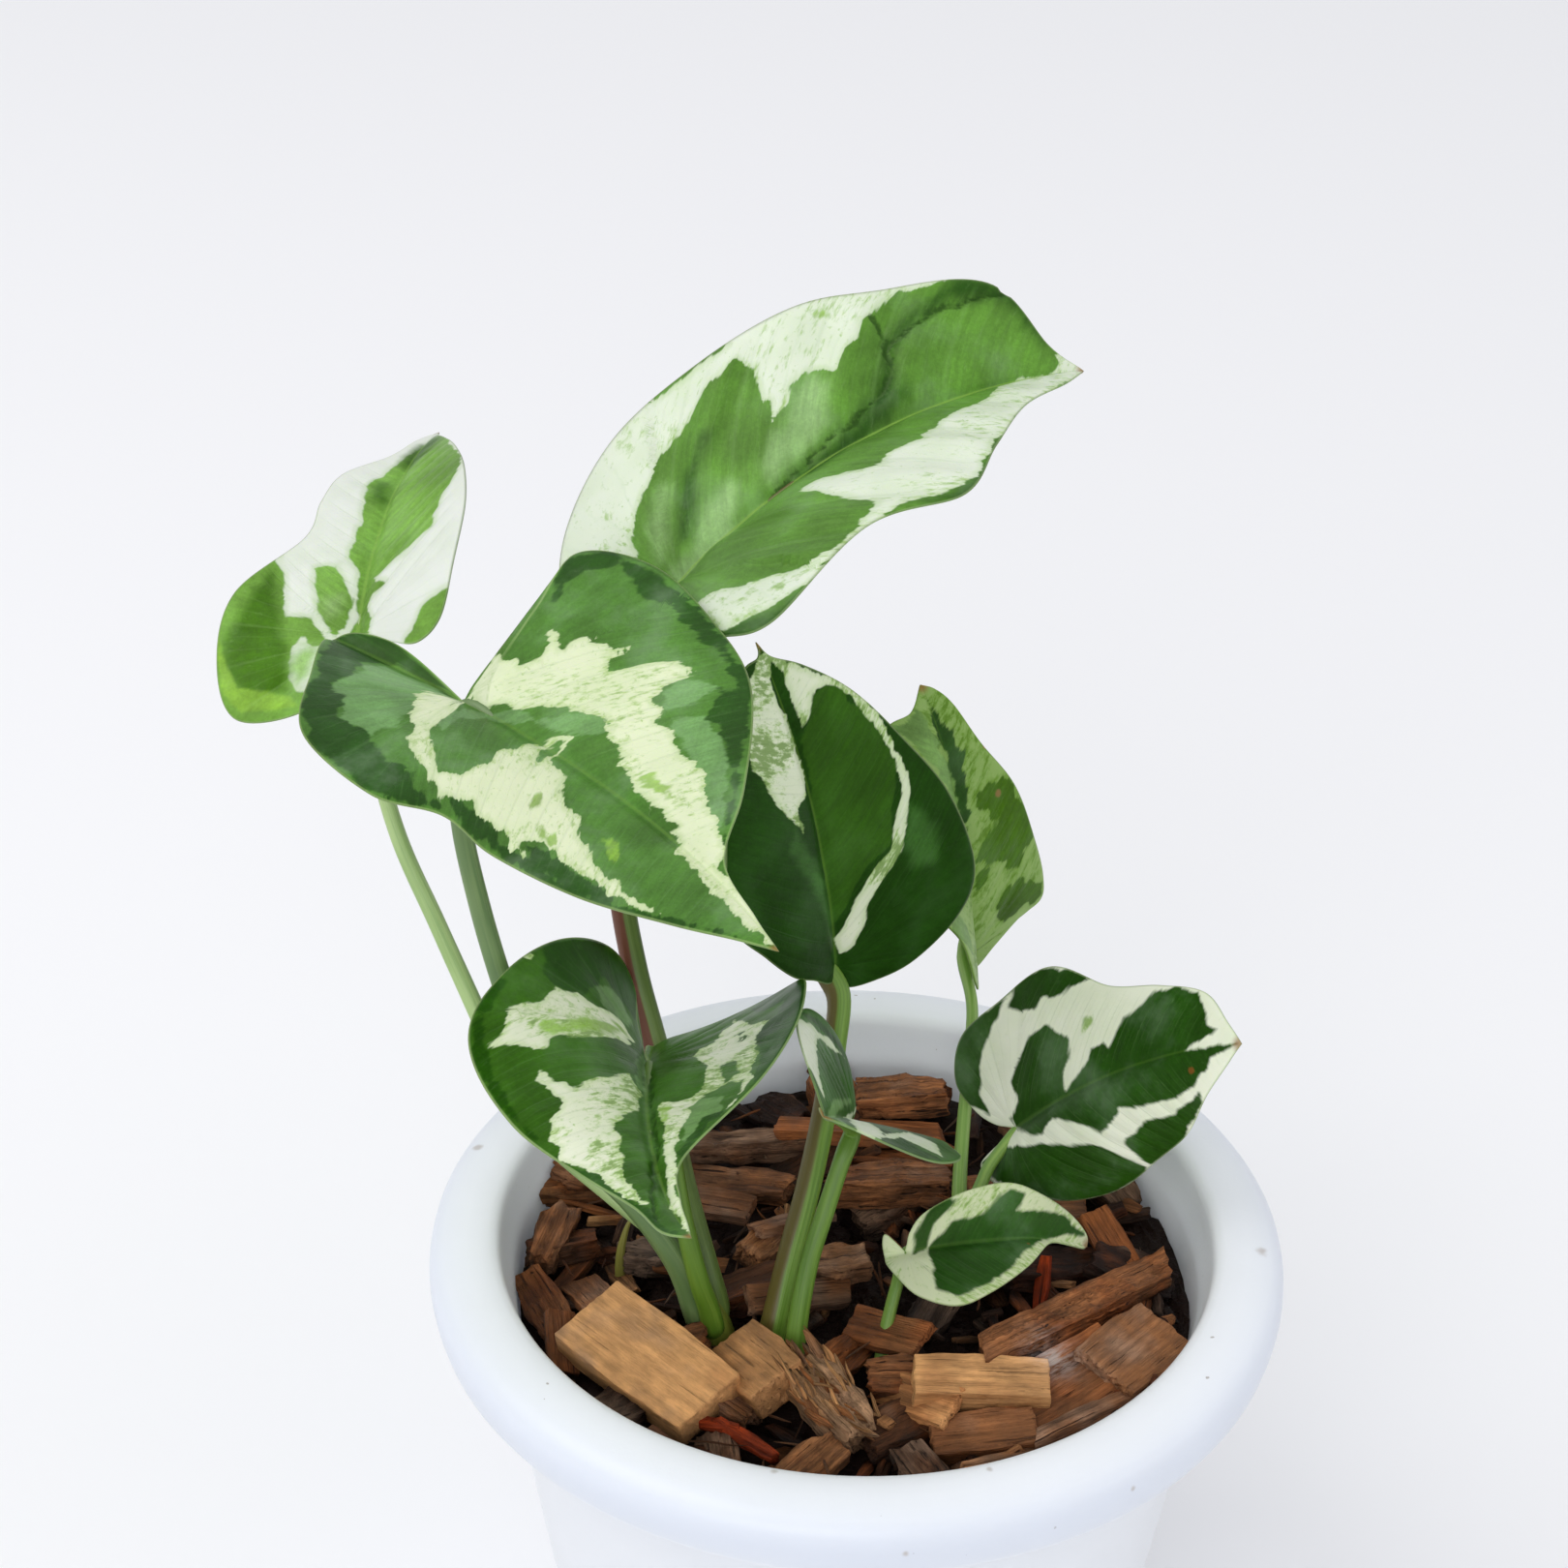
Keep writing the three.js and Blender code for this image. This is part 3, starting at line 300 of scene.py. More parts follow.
            (34, 14), (40, 14), (41, 12), (42, 8), (45, 6), (40, 6), (33, 7)], [(12, -3), (-3, -1),
            (14, 0), (16, -2)], [(26, -20), (25, -20), (27, -18), (30, -16), (29, -18), (28, -20)]],
        "lime": [
            [(14, -22), (12, -18), (8, -16), (3, -11), (1, -8), (1, -6), (6, -10), (9, -13), (13, -17),
            (16, -19), (16, -22)], [(25, 2), (26, 4), (30, 4), (30, 3)], [(53, 3), (53, 4), (56, 3)]],
    },
    "leaf_back_left": {
        "ground": "cream",
        "green": [
            [(0, 2), (-1, -4), (2, -4), (6, -2), (8, -3), (9, -6), (12, -2), (12, -4), (14, -10),
            (16, -13), (18, -16), (24, -16), (28, -17), (34, -18), (38, -16), (44, -12), (58, -4), (56, 0),
            (52, 1), (48, 2), (42, 4), (39, 6), (33, 5), (28, 4), (22, 4), (18, 4), (15, 2), (8, 1),
            (4, 0)], [(0, 4), (2, 2), (4, 2), (8, 2), (12, 4), (16, 6), (16, 8), (15, 10), (10, 9), (6, 8),
            (2, 6)], [(20, 18), (17, 18), (14, 16), (10, 15), (4, 14), (4, 9), (0, 6), (-2, 6), (-2, 8),
            (0, 10), (-2, 12), (-6, 12), (-8, 12), (-11, 10), (-11, 8), (-16, 8), (-18, 14), (-18, 22),
            (-14, 26), (-6, 28), (4, 27), (12, 24), (18, 21)], [(-6, -14), (-4, -16), (-2, -17), (0, -18),
            (2, -22), (2, -24), (-2, -24), (-5, -23), (-8, -19)]],
        "deep": [
            [(4, 23), (12, 20), (15, 18), (8, 16), (2, 14), (-6, 12), (-11, 12), (-12, 19), (-8, 24),
            (-2, 25)], [(40, 5), (40, 2), (34, 0), (32, 1), (34, 4)], [(56, 1), (60, -2), (52, -6),
            (48, -4), (44, -2), (47, 2)]],
        "pale": [[(-2, 10), (-2, 7), (-8, 8), (-10, 10), (-6, 12)], [(8, 8), (9, 4), (5, 4), (4, 6)]],
        "lime": [[(0, 26), (-6, 23), (-10, 21), (-12, 11), (-14, 9), (-15, 20), (-10, 24), (-4, 26)]],
    },
    "leaf_middle": {
        "ground": "deep",
        "cream": [
            [(65, 6), (67, 1), (67, -1), (62, 0), (60, 1), (56, 1), (54, 0), (50, 0), (45, 0), (41, 0),
            (38, 1), (38, 4), (37, 5), (33, 4), (32, 5), (36, 7), (40, 9), (44, 10), (49, 11), (52, 12),
            (55, 11), (60, 8)], [(67, -1), (65, -2), (62, -5), (58, -8), (54, -12), (50, -15), (45, -17),
            (40, -18), (35, -19), (32, -20), (28, -20), (23, -18), (18, -16), (14, -12), (10, -8), (6, -6),
            (3, -4), (2, -1), (6, 0), (8, -2), (11, -4), (14, -7), (17, -10), (19, -14), (22, -15),
            (25, -16), (29, -18), (32, -18), (37, -17), (42, -16), (46, -14), (50, -13), (54, -11),
            (55, -9), (55, -7), (52, -5), (51, -4), (50, -2), (53, -2), (58, -2), (62, -2)]],
        "green": [
            [(55, -6), (55, -9), (53, -11), (49, -13), (42, -16), (35, -18), (31, -17), (26, -15),
            (20, -14), (18, -9), (15, -5), (11, -2), (8, 0), (15, 1), (25, 0), (33, 0), (41, -1), (48, -1),
            (51, -4)]],
        "pale": [
            [(34, 7), (21, 2), (11, 0), (0, 0), (9, 2), (21, 5), (31, 10)], [(26, -19), (20, -24),
            (13, -23), (13, -18), (19, -17)]],
    },
    "leaf_young": {
        "ground": "green",
        "cream": [
            [(23, -18), (15, -17), (9, -15), (17, -13), (22, -10), (26, -6), (29, -3), (31, -7), (33, -11),
            (32, -15)], [(13, -16), (5, -15), (-3, -12), (6, -13), (12, -15)], [(-1, -2), (-9, -5),
            (15, 6), (32, 10), (7, 11), (13, 17), (24, 20), (25, 16), (25, 12), (46, 9), (43, 6)]],
        "deep": [
            [(16, 6), (21, 11), (28, 16), (27, 20), (42, 16), (45, 11)], [(18, -19), (8, -18), (-1, -15),
            (-3, -13), (7, -16), (14, -18)]],
        "pale": [[(20, -3), (-2, -4), (43, 4), (43, 3)]],
    },
    "leaf_back_right": {
        "ground": "cream",
        "green": [
            [(34, -4), (35, -8), (33, -10), (34, -12), (31, -14), (26, -17), (18, -20), (19, -18),
            (17, -15), (14, -14), (15, -10), (19, -8), (19, -4), (20, -2), (23, -4), (25, -8), (27, -10),
            (29, -6), (30, -4)], [(10, -8), (11, -12), (11, -16), (7, -22), (2, -24), (3, -17), (3, -14),
            (4, -9), (8, -6)], [(18, -2), (17, -5), (15, -4), (15, -2)], [(54, 6), (54, 4), (49, 2),
            (44, 1), (39, 0), (42, 2), (48, 5)]],
        "deep": [
            [(55, 0), (53, -2), (48, -2), (43, -3), (38, -3), (32, -2), (27, -1), (32, 0), (39, 0),
            (45, 0), (50, 2)]],
        "pale": [
            [(54, 12), (54, 8), (55, 4), (52, 2), (47, 2), (42, 0), (38, -2), (33, -2), (28, -2), (33, 2),
            (43, 6), (50, 9)], [(19, 16), (14, 11), (9, 13), (17, 19)]],
    },
    "leaf_right": {
        "ground": "cream",
        "deep": [
            [(3, 8), (5, 10), (8, 12), (10, 14), (14, 14), (16, 12), (18, 9), (17, 6), (15, 4), (14, 1),
            (17, 2), (21, 4), (22, 6), (25, 6), (26, 4), (28, 7), (30, 9), (34, 10), (37, 12), (41, 12),
            (45, 10), (47, 6), (47, 4), (49, 3), (48, 2), (44, 1), (42, 0), (47, 0), (53, 0), (51, -1),
            (48, -2), (47, -4), (44, -6), (40, -8), (35, -8), (31, -8), (26, -7), (25, -8), (20, -10),
            (18, -8), (15, -6), (12, -4), (10, -3), (7, -5), (4, -4), (0, 0), (0, 2), (3, 4)], [(10, 24),
            (4, 22), (1, 24), (-3, 22), (-7, 19), (-8, 16), (-9, 11), (-6, 8), (-4, 5), (-4, 10), (-2, 14),
            (0, 16), (4, 20), (7, 22)], [(9, 22), (11, 25), (17, 24), (21, 22), (26, 18), (21, 19),
            (19, 18), (17, 18), (15, 20), (13, 18), (10, 19), (8, 21)], [(24, -13), (28, -12), (30, -11),
            (35, -11), (39, -10), (44, -8), (44, -10), (39, -14), (34, -18), (26, -19), (25, -16)],
            [(-10, -2), (-5, -2), (2, -5), (9, -8), (19, -12), (23, -16), (26, -19), (21, -21), (12, -21),
            (4, -18), (-2, -12), (-7, -8)]],
        "lime": [[(22, 12), (24, 12), (24, 10), (21, 9)]],
    },
    "leaf_low_right": {
        "ground": "cream",
        "deep": [
            [(4, 0), (6, 2), (9, 4), (12, 4), (15, 5), (18, 8), (20, 9), (23, 8), (22, 6), (21, 5),
            (25, 5), (30, 5), (34, 3), (37, 2), (32, 1), (27, 0), (21, -4), (16, -8), (11, -11), (7, -12),
            (4, -10), (4, -6)], [(2, 3), (5, 6), (8, 8), (11, 8), (9, 6), (6, 4), (4, 0), (1, -1)]],
    },
}

# Dirt on the pot: place and radius of each speck
POT_SPECKS = [
    (-71.9, 19.8, 111, 0.9), (73.7, -3.5, 111, 1.0), (-12.6, -65.7, 112, 0.6), (23.2, -63.5, 112, 0.5),
    (47.5, -61.8, 107, 0.5), (9.6, -77.4, 105.8, 0.6),
]
# Middle and reach of the pale mineral bloom on the bark
BLOOM_PLACE = (34.9, -25.5, 104)
BLOOM_REACH = 4.0

# Colours that the materials mix in, as a screen shows them
TINTS = {
    # The first colour is a painted leaf sheen, and the second is painted shade in leaf creases
    "painted_sheen": (142, 164, 136), "crease": (14, 36, 6), "dry tip": (140, 92, 50), "underside": (150, 176, 132),
    "grey bark": (138, 114, 96), "rust bark": (158, 84, 36), "ruddy bark": (168, 62, 22),
    # The bark crack colour also paints the shadow in the gaps between the chips
    "bark bloom": (206, 200, 196), "bark crack and gap shadow": (32, 16, 9), "grit": (140, 124, 104),
    "rim shade": (184, 192, 207), "soil stain": (140, 112, 84), "speck": (162, 146, 128),
    "room": (250, 251, 255),
}

# Finish of every leaf, unless its own entry below says otherwise
COMMON_FINISH = {
    "quilting": 0.5, "speckle": 0.7, "jag": 1.0, "softness": 0.4, "rib": 0.2, "painted_sheen": 0.25, "shine": 0.26,
    "flush": 0.0, "flare": 0.25, "tones": {}, "wrinkles": [], "spots": [],
}
# Own finish of each leaf: swelling between the veins, flecks, ragged markings, tones, painted sheen, creases
# with their painted shade, and spots
LEAF_FINISH = {
    "leaf_top": {
        "quilting": 2.0, "vein_pairs": 6, "flare": 0.12, "speckle": 0.75, "shine": 0.34, "painted_sheen": 0.2,
        "softness": 2.2, "jag": 0.8, "rib": 0.65,
        "tones": {"green": (88, 134, 48), "pale": (134, 170, 106), "deep": (34, 76, 12),
                  "cream": (218, 226, 208)},
        "stalk_tones": ((84, 108, 46), (116, 138, 70), (104, 58, 36), 1.0), "flush": 0.9,
        "wrinkles": [
            {"line": [(19.6, -1.6), (28, 1.2), (35.2, 2.4), (41.6, 3.2), (47.2, 5.6), (50.8, 6.8), (53.6, 11.6),
                      (56.4, 14.4), (60.8, 16), (66.4, 16.8), (77.6, 16.8)], "depth": 0.9, "width": 0.6},
            {"line": [(54.8, 20), (55.2, 15.2), (53.6, 11.6)], "depth": 0.6, "width": 0.6},
        ],
    },
    "leaf_front_left": {
        "quilting": 0.3, "speckle": 0.75, "jag": 1.2, "painted_sheen": 0.3,
        "tones": {"green": (76, 122, 46), "pale": (108, 150, 88), "deep": (34, 76, 16),
                  "cream": (221, 229, 194)},
        "stalk_tones": ((86, 116, 66), (122, 146, 92), (110, 84, 60), 0.2),
    },
    "leaf_low_front": {
        "quilting": 0.3, "speckle": 1.4, "jag": 0.9, "flare": 0.12, "shine": 0.16, "painted_sheen": 0.16,
        "tones": {"green": (60, 107, 22), "deep": (34, 80, 2), "cream": (244, 248, 224),
                  "lime": (146, 190, 58)},
        "stalk_tones": ((74, 112, 24), (112, 146, 50), (96, 88, 36), 0.5),
        "wrinkles": [
            {"line": [(7.2, 0.7), (28.4, 1.1), (41.6, 0.7), (48.8, -1.3), (66, -2.9)],
             "depth": 0.4, "width": 0.4},
        ],
    },
    "leaf_back_left": {
        "quilting": 0.6, "speckle": 0.05, "jag": 0.45, "softness": 1.8, "rib": 0.35, "painted_sheen": 0.12,
        "tones": {"green": (112, 158, 62), "pale": (150, 188, 112), "deep": (60, 106, 2),
                  "cream": (222, 226, 218)},
        "stalk_tones": ((128, 160, 92), (170, 194, 132), (150, 132, 100), 0.2),
    },
    "leaf_middle": {
        "quilting": 0.2, "speckle": 1.9, "jag": 0.6, "softness": 1.4, "flush": 0.6, "painted_sheen": 0.04, "shine": 0.1,
        "tones": {"green": (48, 88, 18), "deep": (27, 65, 8), "pale": (56, 98, 38)},
        "stalk_tones": ((88, 128, 34), (126, 162, 64), (98, 80, 36), 0.9),
    },
    "leaf_young": {
        "quilting": 0.2, "speckle": 0.4, "jag": 0.5, "painted_sheen": 0.08, "shine": 0.14,
        "tones": {"green": (48, 94, 22), "deep": (28, 66, 12), "cream": (226, 232, 210)},
        "stalk_tones": ((80, 118, 32), (116, 152, 58), (104, 80, 40), 0.5),
    },
    "leaf_back_right": {
        "quilting": 0.2, "speckle": 1.35, "jag": 1.3, "shine": 0.12, "painted_sheen": 0.1,
        "tones": {"green": (62, 100, 6), "cream": (142, 172, 98), "deep": (42, 76, 28), "pale": (112, 148, 78),
                  "lime": (96, 138, 30)},
        "stalk_tones": ((104, 146, 54), (146, 178, 92), (134, 100, 60), 0.2),
        "spots": [(41.6, -9.4, 0.7, (168, 120, 100)), (31.6, -9.8, 0.8, (140, 110, 70)),
                  (7.2, 3.4, 1.0, (120, 84, 50))],
    },
    "leaf_right": {
        "quilting": 0.25, "speckle": 0.12, "jag": 0.5, "rib": 0.1,
        "tones": {"deep": (33, 72, 12), "green": (46, 88, 20), "cream": (234, 238, 218)},
        "stalk_tones": ((104, 146, 54), (146, 178, 88), (120, 80, 60), 0.2),
        "spots": [(43.2, -3.8, 0.7, (122, 74, 30))],
    },
    "leaf_low_right": {
        "quilting": 0.3, "speckle": 1.0, "jag": 0.5, "rib": 0.08,
        "tones": {"deep": (38, 80, 20), "green": (54, 98, 28), "cream": (214, 222, 184)},
        "stalk_tones": ((96, 138, 48), (136, 170, 78), (110, 90, 50), 0.2),
        "spots": [(22.6, -1.7, 0.35, (120, 96, 50))],
    },
}

# Blade: share of the margin in the fan at the base, and of the midrib that the stalk follows
FAN_SHARE = 5 / 16
RIB_SHARE = 0.45
# Width over which a half curls, as a share of the blade's length, and stations along the midrib
CURL_WIDTH_SHARE = 0.4
SPINE_STATIONS = 121
# Half the thickness of a blade, what its margin loses of it, and the radius of the stalk's end under it
HALF_THICKNESS = 0.30
MARGIN_THINNING = 0.16
RIB_END_RADIUS = 0.45
# Vein pattern: a lateral vein leaves the midrib at a slant and bends to the tip
VEIN_SLANT = 0.55
VEIN_BEND = 0.9
FIRST_VEIN_ANGLE = math.atan2(1, VEIN_SLANT)
# Distance from which an outline or a crease no longer counts
FAR_AWAY = 9.0

# Stalks and stems: sides, steps along, and how far a stalk runs on into its stem
STALK_SIDES = 24
STALK_STEPS = 110
BURIED_STALK = 7
STEM_SIDES = 32
STEM_STEPS = 70
STEMS = {
    "stem_left": {
        "lower": 4.4, "upper": 4.1,
        "path": [(-21, -13.5, 62), (-23, -15.5, 84), (-25, -16, 99), (-26, -15, 107)],
        "tones": ((84, 112, 26), (122, 146, 52), (128, 98, 50), 0.5),
    },
    "stem_right": {
        "lower": 3.0, "upper": 2.6,
        "path": [(21, 4, 66), (20.5, 4.5, 86), (20, 5, 98), (19.5, 5.5, 105)],
        "tones": ((66, 92, 20), (100, 124, 40), (112, 82, 44), 0.5),
    },
    "sprout": {
        "lower": 1.3, "upper": 0.5,
        "path": [(-43, -1, 90), (-43.5, 0, 101), (-42.5, 1, 107), (-41, 1.5, 111)],
        "tones": ((122, 120, 52), (152, 148, 78), (116, 84, 50), 0.5),
    },
}

# Large bark chips: middle, size, turn, tip along, tip across, tone from dark 0 to tan 1
LARGE_CHIPS = [
    ((-36, -29.5, 102.5), (33, 17, 6), -41, 4, 14, 1.0),
    ((-17, -29, 101.5), (18, 13, 6), -56, -12, 18, 0.8),
    ((-4, -38, 102), (21, 12, 7), -52, 8, -10, 0.85),
    ((8, -30, 101), (12, 11, 4), 10, 6, 8, 0.35),
    ((22.5, -33, 103), (25, 10, 6), 4, 3, 6, 1.0),
    ((23, -43, 100), (19, 9, 5), 8, -4, 10, 0.55),
    ((40, -12, 102.5), (50, 9, 6), 42, 5, 8, 0.5),
    ((50, -22, 101.5), (20, 15, 5), 52, 4, 12, 0.6),
    ((41, -38, 100.5), (26, 4, 4), 38, 3, 0, 0.45),
    ((8, 50, 103), (20, 12, 6), 12, 2, -8, 0.45),
    ((-22, 36, 101), (27, 7, 5), 10, 0, -4, 0.3),
    ((6, 24, 102), (27, 12, 6), 10, 3, -8, 0.4),
    ((-3, 1, 101), (12, 9, 5), 14, 0, 0, 0.6),
    ((-54, 24, 101), (10, 8, 6), -10, 10, 8, 0.4),
    ((-56.5, 6, 101), (16, 8, 6), 76, -8, 12, 0.35),
    ((-18, -45.5, 100), (15, 2.6, 2.6), -37, 3, 0, 0.1),
    ((-24, -42, 100), (12, 2.4, 2.4), -20, -6, 0, 0.15),
]
# The large chip that is split into splinters, and how cleanly sawn the boards among them are
SPLINTERED_CHIP = 2
SAWN_CHIPS = {0: 1.0, 1: 0.8, 4: 0.8, 5: 0.6, 7: 0.55}
# Thin plates and shards that only fill gaps: middle, size, turn, pitch, roll, tone
PLATES = [
    ((37, -30, 101.5), (30, 17, 2.6), 40, -3, 6, 0.52),
    ((30, -50, 100.5), (26, 9, 2.2), 24, 6, -8, 0.62),
    ((12, -36, 102), (17, 10, 2.2), -38, -14, 20, 0.85),
    ((-48, -10, 101), (16, 8, 2.4), -66, -22, 10, 0.45),
    ((-52, -22, 100), (14, 7, 2.2), -80, 18, -16, 0.35),
    ((-10, -8, 101), (22, 7, 2.6), 24, 12, 24, 0.3),
    ((6, -18, 101.5), (17, 9, 2.2), -30, -10, 18, 0.5),
    ((32, 20, 102), (24, 13, 3.2), 12, 8, 14, 0.5),
    ((0, 40, 102), (36, 8, 3), 4, 4, -12, 0.42),
    ((-30, 18, 101), (26, 7, 2.6), -22, -8, 16, 0.25),
    ((-12, 12, 101.5), (19, 6, 2.4), 34, 10, -20, 0.4),
    ((48, 8, 101), (20, 8, 2.6), -64, 14, 10, 0.35),
    ((-30, -50, 99.5), (15, 6, 2.2), -24, 16, 12, 0.2),
    ((20, -54, 99), (15, 7, 2.4), -70, -18, 16, 0.45),
    ((54, -34, 100), (22, 4, 2), 52, 4, 10, 0.3),
]
# Rings of middling chips: number, radius, length, width
CHIP_RINGS = [(17, 54, 18, 9), (11, 38, 19, 10), (6, 20, 17, 9)]
BOARD_OUTLINE = [(-1, -0.94), (0, -1), (0.97, -0.95), (1, 0.9), (0.1, 1), (-0.96, 0.97)]
CHIP_OUTLINE = [(-1, -0.7), (-0.1, -1), (0.95, -0.8), (1, 0.6), (0.2, 1), (-0.9, 0.8)]
# Seeds of the draws, first number of each kind of chip, which sets its grain, and how many there are
CHIP_SEED, PLATE_SEED, CRUMB_SEED, FIBRE_SEED = 20, 31, 77, 5
FIRST_CRUMB, FIRST_SPLINTER, FIRST_FIBRE, FIRST_PLATE = 60, 300, 400, 700
SPLINTERS, FIBRES = 70, 80
RUDDY_CHIPS = (50, 51, 96, 133, 204, 310, 377)
# Width of a chip's worn edges; sides of a splinter, and its share of the radius at each step
WORN_EDGE = 0.22
SPLINTER_SIDES = 5
SPLINTER_FORM = (0.6, 1, 0.9, 1, 0.85, 0.9, 0.7, 0.5, 0.15)

# The loose mix under the chips: height, radius, lower rings, rows and steps around
MIX_TOP = 97
MIX_RADIUS = 61.8
MIX_SIDE = ((88, 60.2), (2.5, 48.8))
MIX_ROWS, MIX_STEPS = 64, 150

POT_PROFILE = [
    (0, 0), (30, 0), (50.2, 0), (51.4, 0.3), (52, 1.2), (54.8, 20), (57.6, 39), (60.5, 58), (63.3, 78),
    (66.2, 99), (66.6, 101.6), (67.4, 104), (68.7, 105.6), (70.3, 106.2), (72, 106.1), (73.5, 105.4),
    (74.5, 103.6), (74.9, 101.6), (75.1, 100.4), (75.7, 99.9), (76.5, 100), (77.2, 101.2), (77.7, 103.2),
    (78, 105.4), (77.9, 107.2), (77.5, 108.8), (76.6, 109.9), (75.2, 110.7), (73.4, 111.2), (71.2, 111.6),
    (69, 111.9), (67.2, 112), (66, 111.7), (65.3, 111), (64.9, 109.6), (64.5, 107.6), (64.1, 105.8),
    (63.6, 104), (63.1, 102.4), (62.7, 101), (59.6, 77.8), (56.2, 53), (52.9, 28.4), (49.6, 3.8),
    (48.9, 2.6), (47.6, 2.2), (0, 2.2),
]
DRAIN_HOLES, DRAIN_RING, DRAIN_RADIUS = 5, 30, 4.5
# Height and strength of the shade on the outside of the rim
RIM_SHADE = ((98, 100.5, 106, 109.5, 111.5), (0.2, 0.7, 0.65, 0.55, 0))
# Radius that parts the inside of the wall from the outside: at the floor, and what it gains with height
WALL_FOOT, INNER_FLARE, OUTER_FLARE = 50.4, 0.137, 0.14

# Camera that the photograph was matched with
CAMERA_PLACE = (0, -471.8, 493.9)
CAMERA_DOWN, CAMERA_PAN, CAMERA_ROLL = 31.44, -1.74, 0.75
CAMERA_LENS, SENSOR_WIDTH = 75.56, 36.0
# Reach of the floor and the point that the lamps face, in metres
FLOOR_REACH = 4.0
AIM = (0, 0, 0.13)


def polar(reach, angle):
    """A point of the plane at that distance and angle from its middle."""
    return reach * math.cos(angle), reach * math.sin(angle)


def seeded_random(seed):
    """Numbers from 0 to 1 that always come in the same order."""
    state = seed
    while True:
        state = (state * 1664525 + 1013904223) % 4294967296
        yield state / 4294967296


def catmull_rom(points, count):
    """A smooth curve through the points, at evenly spaced parameters."""
    points = np.asarray(points, float)
    padded = np.vstack([2 * points[0] - points[1], points, 2 * points[-1] - points[-2]])
    spans = len(points) - 1
    at = np.linspace(0, spans, count)
    span = np.minimum(at.astype(int), spans - 1)
    t = (at - span)[:, None]
    a, b, c, d = (padded[span + offset] for offset in range(4))
    return 0.5 * (2 * b + (c - a) * t + (2 * a - 5 * b + 4 * c - d) * t * t + (3 * b - a - 3 * c + d) * t ** 3)


def even_path(points, count):
    """The same smooth curve, at even steps of its length."""
    dense = catmull_rom(points, 400)
    reach = np.concatenate([[0], np.cumsum(np.linalg.norm(np.diff(dense, axis=0), axis=1))])
    at = np.linspace(0, reach[-1], count)
    return np.stack([np.interp(at, reach, dense[:, axis]) for axis in range(3)], -1)


def new_object(name, vertices, faces, materials, face_materials=None):
    """A smooth mesh object whose vertices are given in millimetres."""
    mesh = bpy.data.meshes.new(name)
    mesh.from_pydata([tuple(v) for v in np.asarray(vertices) * MM], [], faces)
    for material in materials:
        mesh.materials.append(material)
    if face_materials is not None:
        mesh.polygons.foreach_set("material_index", face_materials)
    mesh.polygons.foreach_set("use_smooth", [True] * len(mesh.polygons))
    mesh.update()
    piece = bpy.data.objects.new(name, mesh)
    bpy.context.scene.collection.objects.link(piece)
    return piece


def set_values(piece, name, values):
    """Store one number for each vertex."""
    layer = piece.data.attributes.new(name, "FLOAT", "POINT")
    layer.data.foreach_set("value", np.asarray(values, np.float32))


def set_vectors(piece, name, values):
    """Store one vector for each vertex."""
    layer = piece.data.attributes.new(name, "FLOAT_VECTOR", "POINT")
    layer.data.foreach_set("vector", np.asarray(values, np.float32).ravel())


# Node trees

class Tree:
    """Short calls for the nodes of one material or group."""

    def __init__(self, tree):
        self.tree = tree

    def feed(self, value, socket):
        """Link an output to a socket, or set the socket to a plain value."""
        if isinstance(value, bpy.types.NodeSocket):
            self.tree.links.new(value, socket)
        else:
            socket.default_value = value

    def node(self, kind, inputs, **settings):
        made = self.tree.nodes.new(kind)
        for key, value in settings.items():
            setattr(made, key, value)
        for key, value in inputs.items():
            self.feed(value, made.inputs[key])
        return made

    def math(self, operation, first, second=0.0):
        return self.node("ShaderNodeMath", {0: first, 1: second}, operation=operation).outputs[0]

    def add(self, first, second):
        return self.math("ADD", first, second)

    def less(self, first, second):
        return self.math("SUBTRACT", first, second)

    def times(self, first, second):
        return self.math("MULTIPLY", first, second)

    def most(self, first, second):
        return self.math("MAXIMUM", first, second)

    def value(self, name):
        return self.node("ShaderNodeAttribute", {}, attribute_name=name).outputs["Fac"]

    def vector_value(self, name):
        return self.node("ShaderNodeAttribute", {}, attribute_name=name).outputs["Vector"]

    def noise(self, place, scale, detail, roughness, w):
        settings = {"Vector": place, "Scale": scale, "Detail": detail, "Roughness": roughness, "W": w}
        return self.node("ShaderNodeTexNoise", settings, noise_dimensions="4D").outputs["Fac"]

    def streaks(self, place, scales, detail, roughness, w):
        """Noise with a scale of its own along each axis."""
        scaled = self.node("ShaderNodeVectorMath", {0: place, 1: scales}, operation="MULTIPLY").outputs[0]
        return self.noise(scaled, 1.0, detail, roughness, w)

    def distance(self, place, point):
        return self.node("ShaderNodeVectorMath", {0: place, 1: point}, operation="DISTANCE").outputs["Value"]

    def ramp(self, value, low, high, to_low=0.0, to_high=1.0, smooth=True):
        kind = "SMOOTHSTEP" if smooth else "LINEAR"
        settings = {"Value": value, "From Min": low, "From Max": high, "To Min": to_low, "To Max": to_high}
        return self.node("ShaderNodeMapRange", settings, interpolation_type=kind).outputs["Result"]

    def mix(self, amount, first, second, blend="MIX"):
        return self.node("ShaderNodeMix", {0: amount, 6: first, 7: second},
                         data_type="RGBA", blend_type=blend, clamp_factor=True).outputs[2]

    def group(self, name, inputs):
        return self.node("ShaderNodeGroup", inputs, node_tree=shader_group(name)).outputs

    def bump(self, height, strength, distance, shader):
        """Feed a shader's normal from a fine relief whose distance is in millimetres."""
        relief = {"Height": height, "Strength": strength, "Distance": distance * MM}
        self.feed(self.node("ShaderNodeBump", relief).outputs["Normal"], shader["Normal"])


def colour(red, green, blue):
    """A linear colour from the 0 to 255 values that a screen shows."""
    def linear(value):
        share = value / 255
        return share / 12.92 if share <= 0.04045 else ((share + 0.055) / 1.055) ** 2.4
    return (linear(red), linear(green), linear(blue), 1.0)


def tint(name):
    return colour(*TINTS[name])


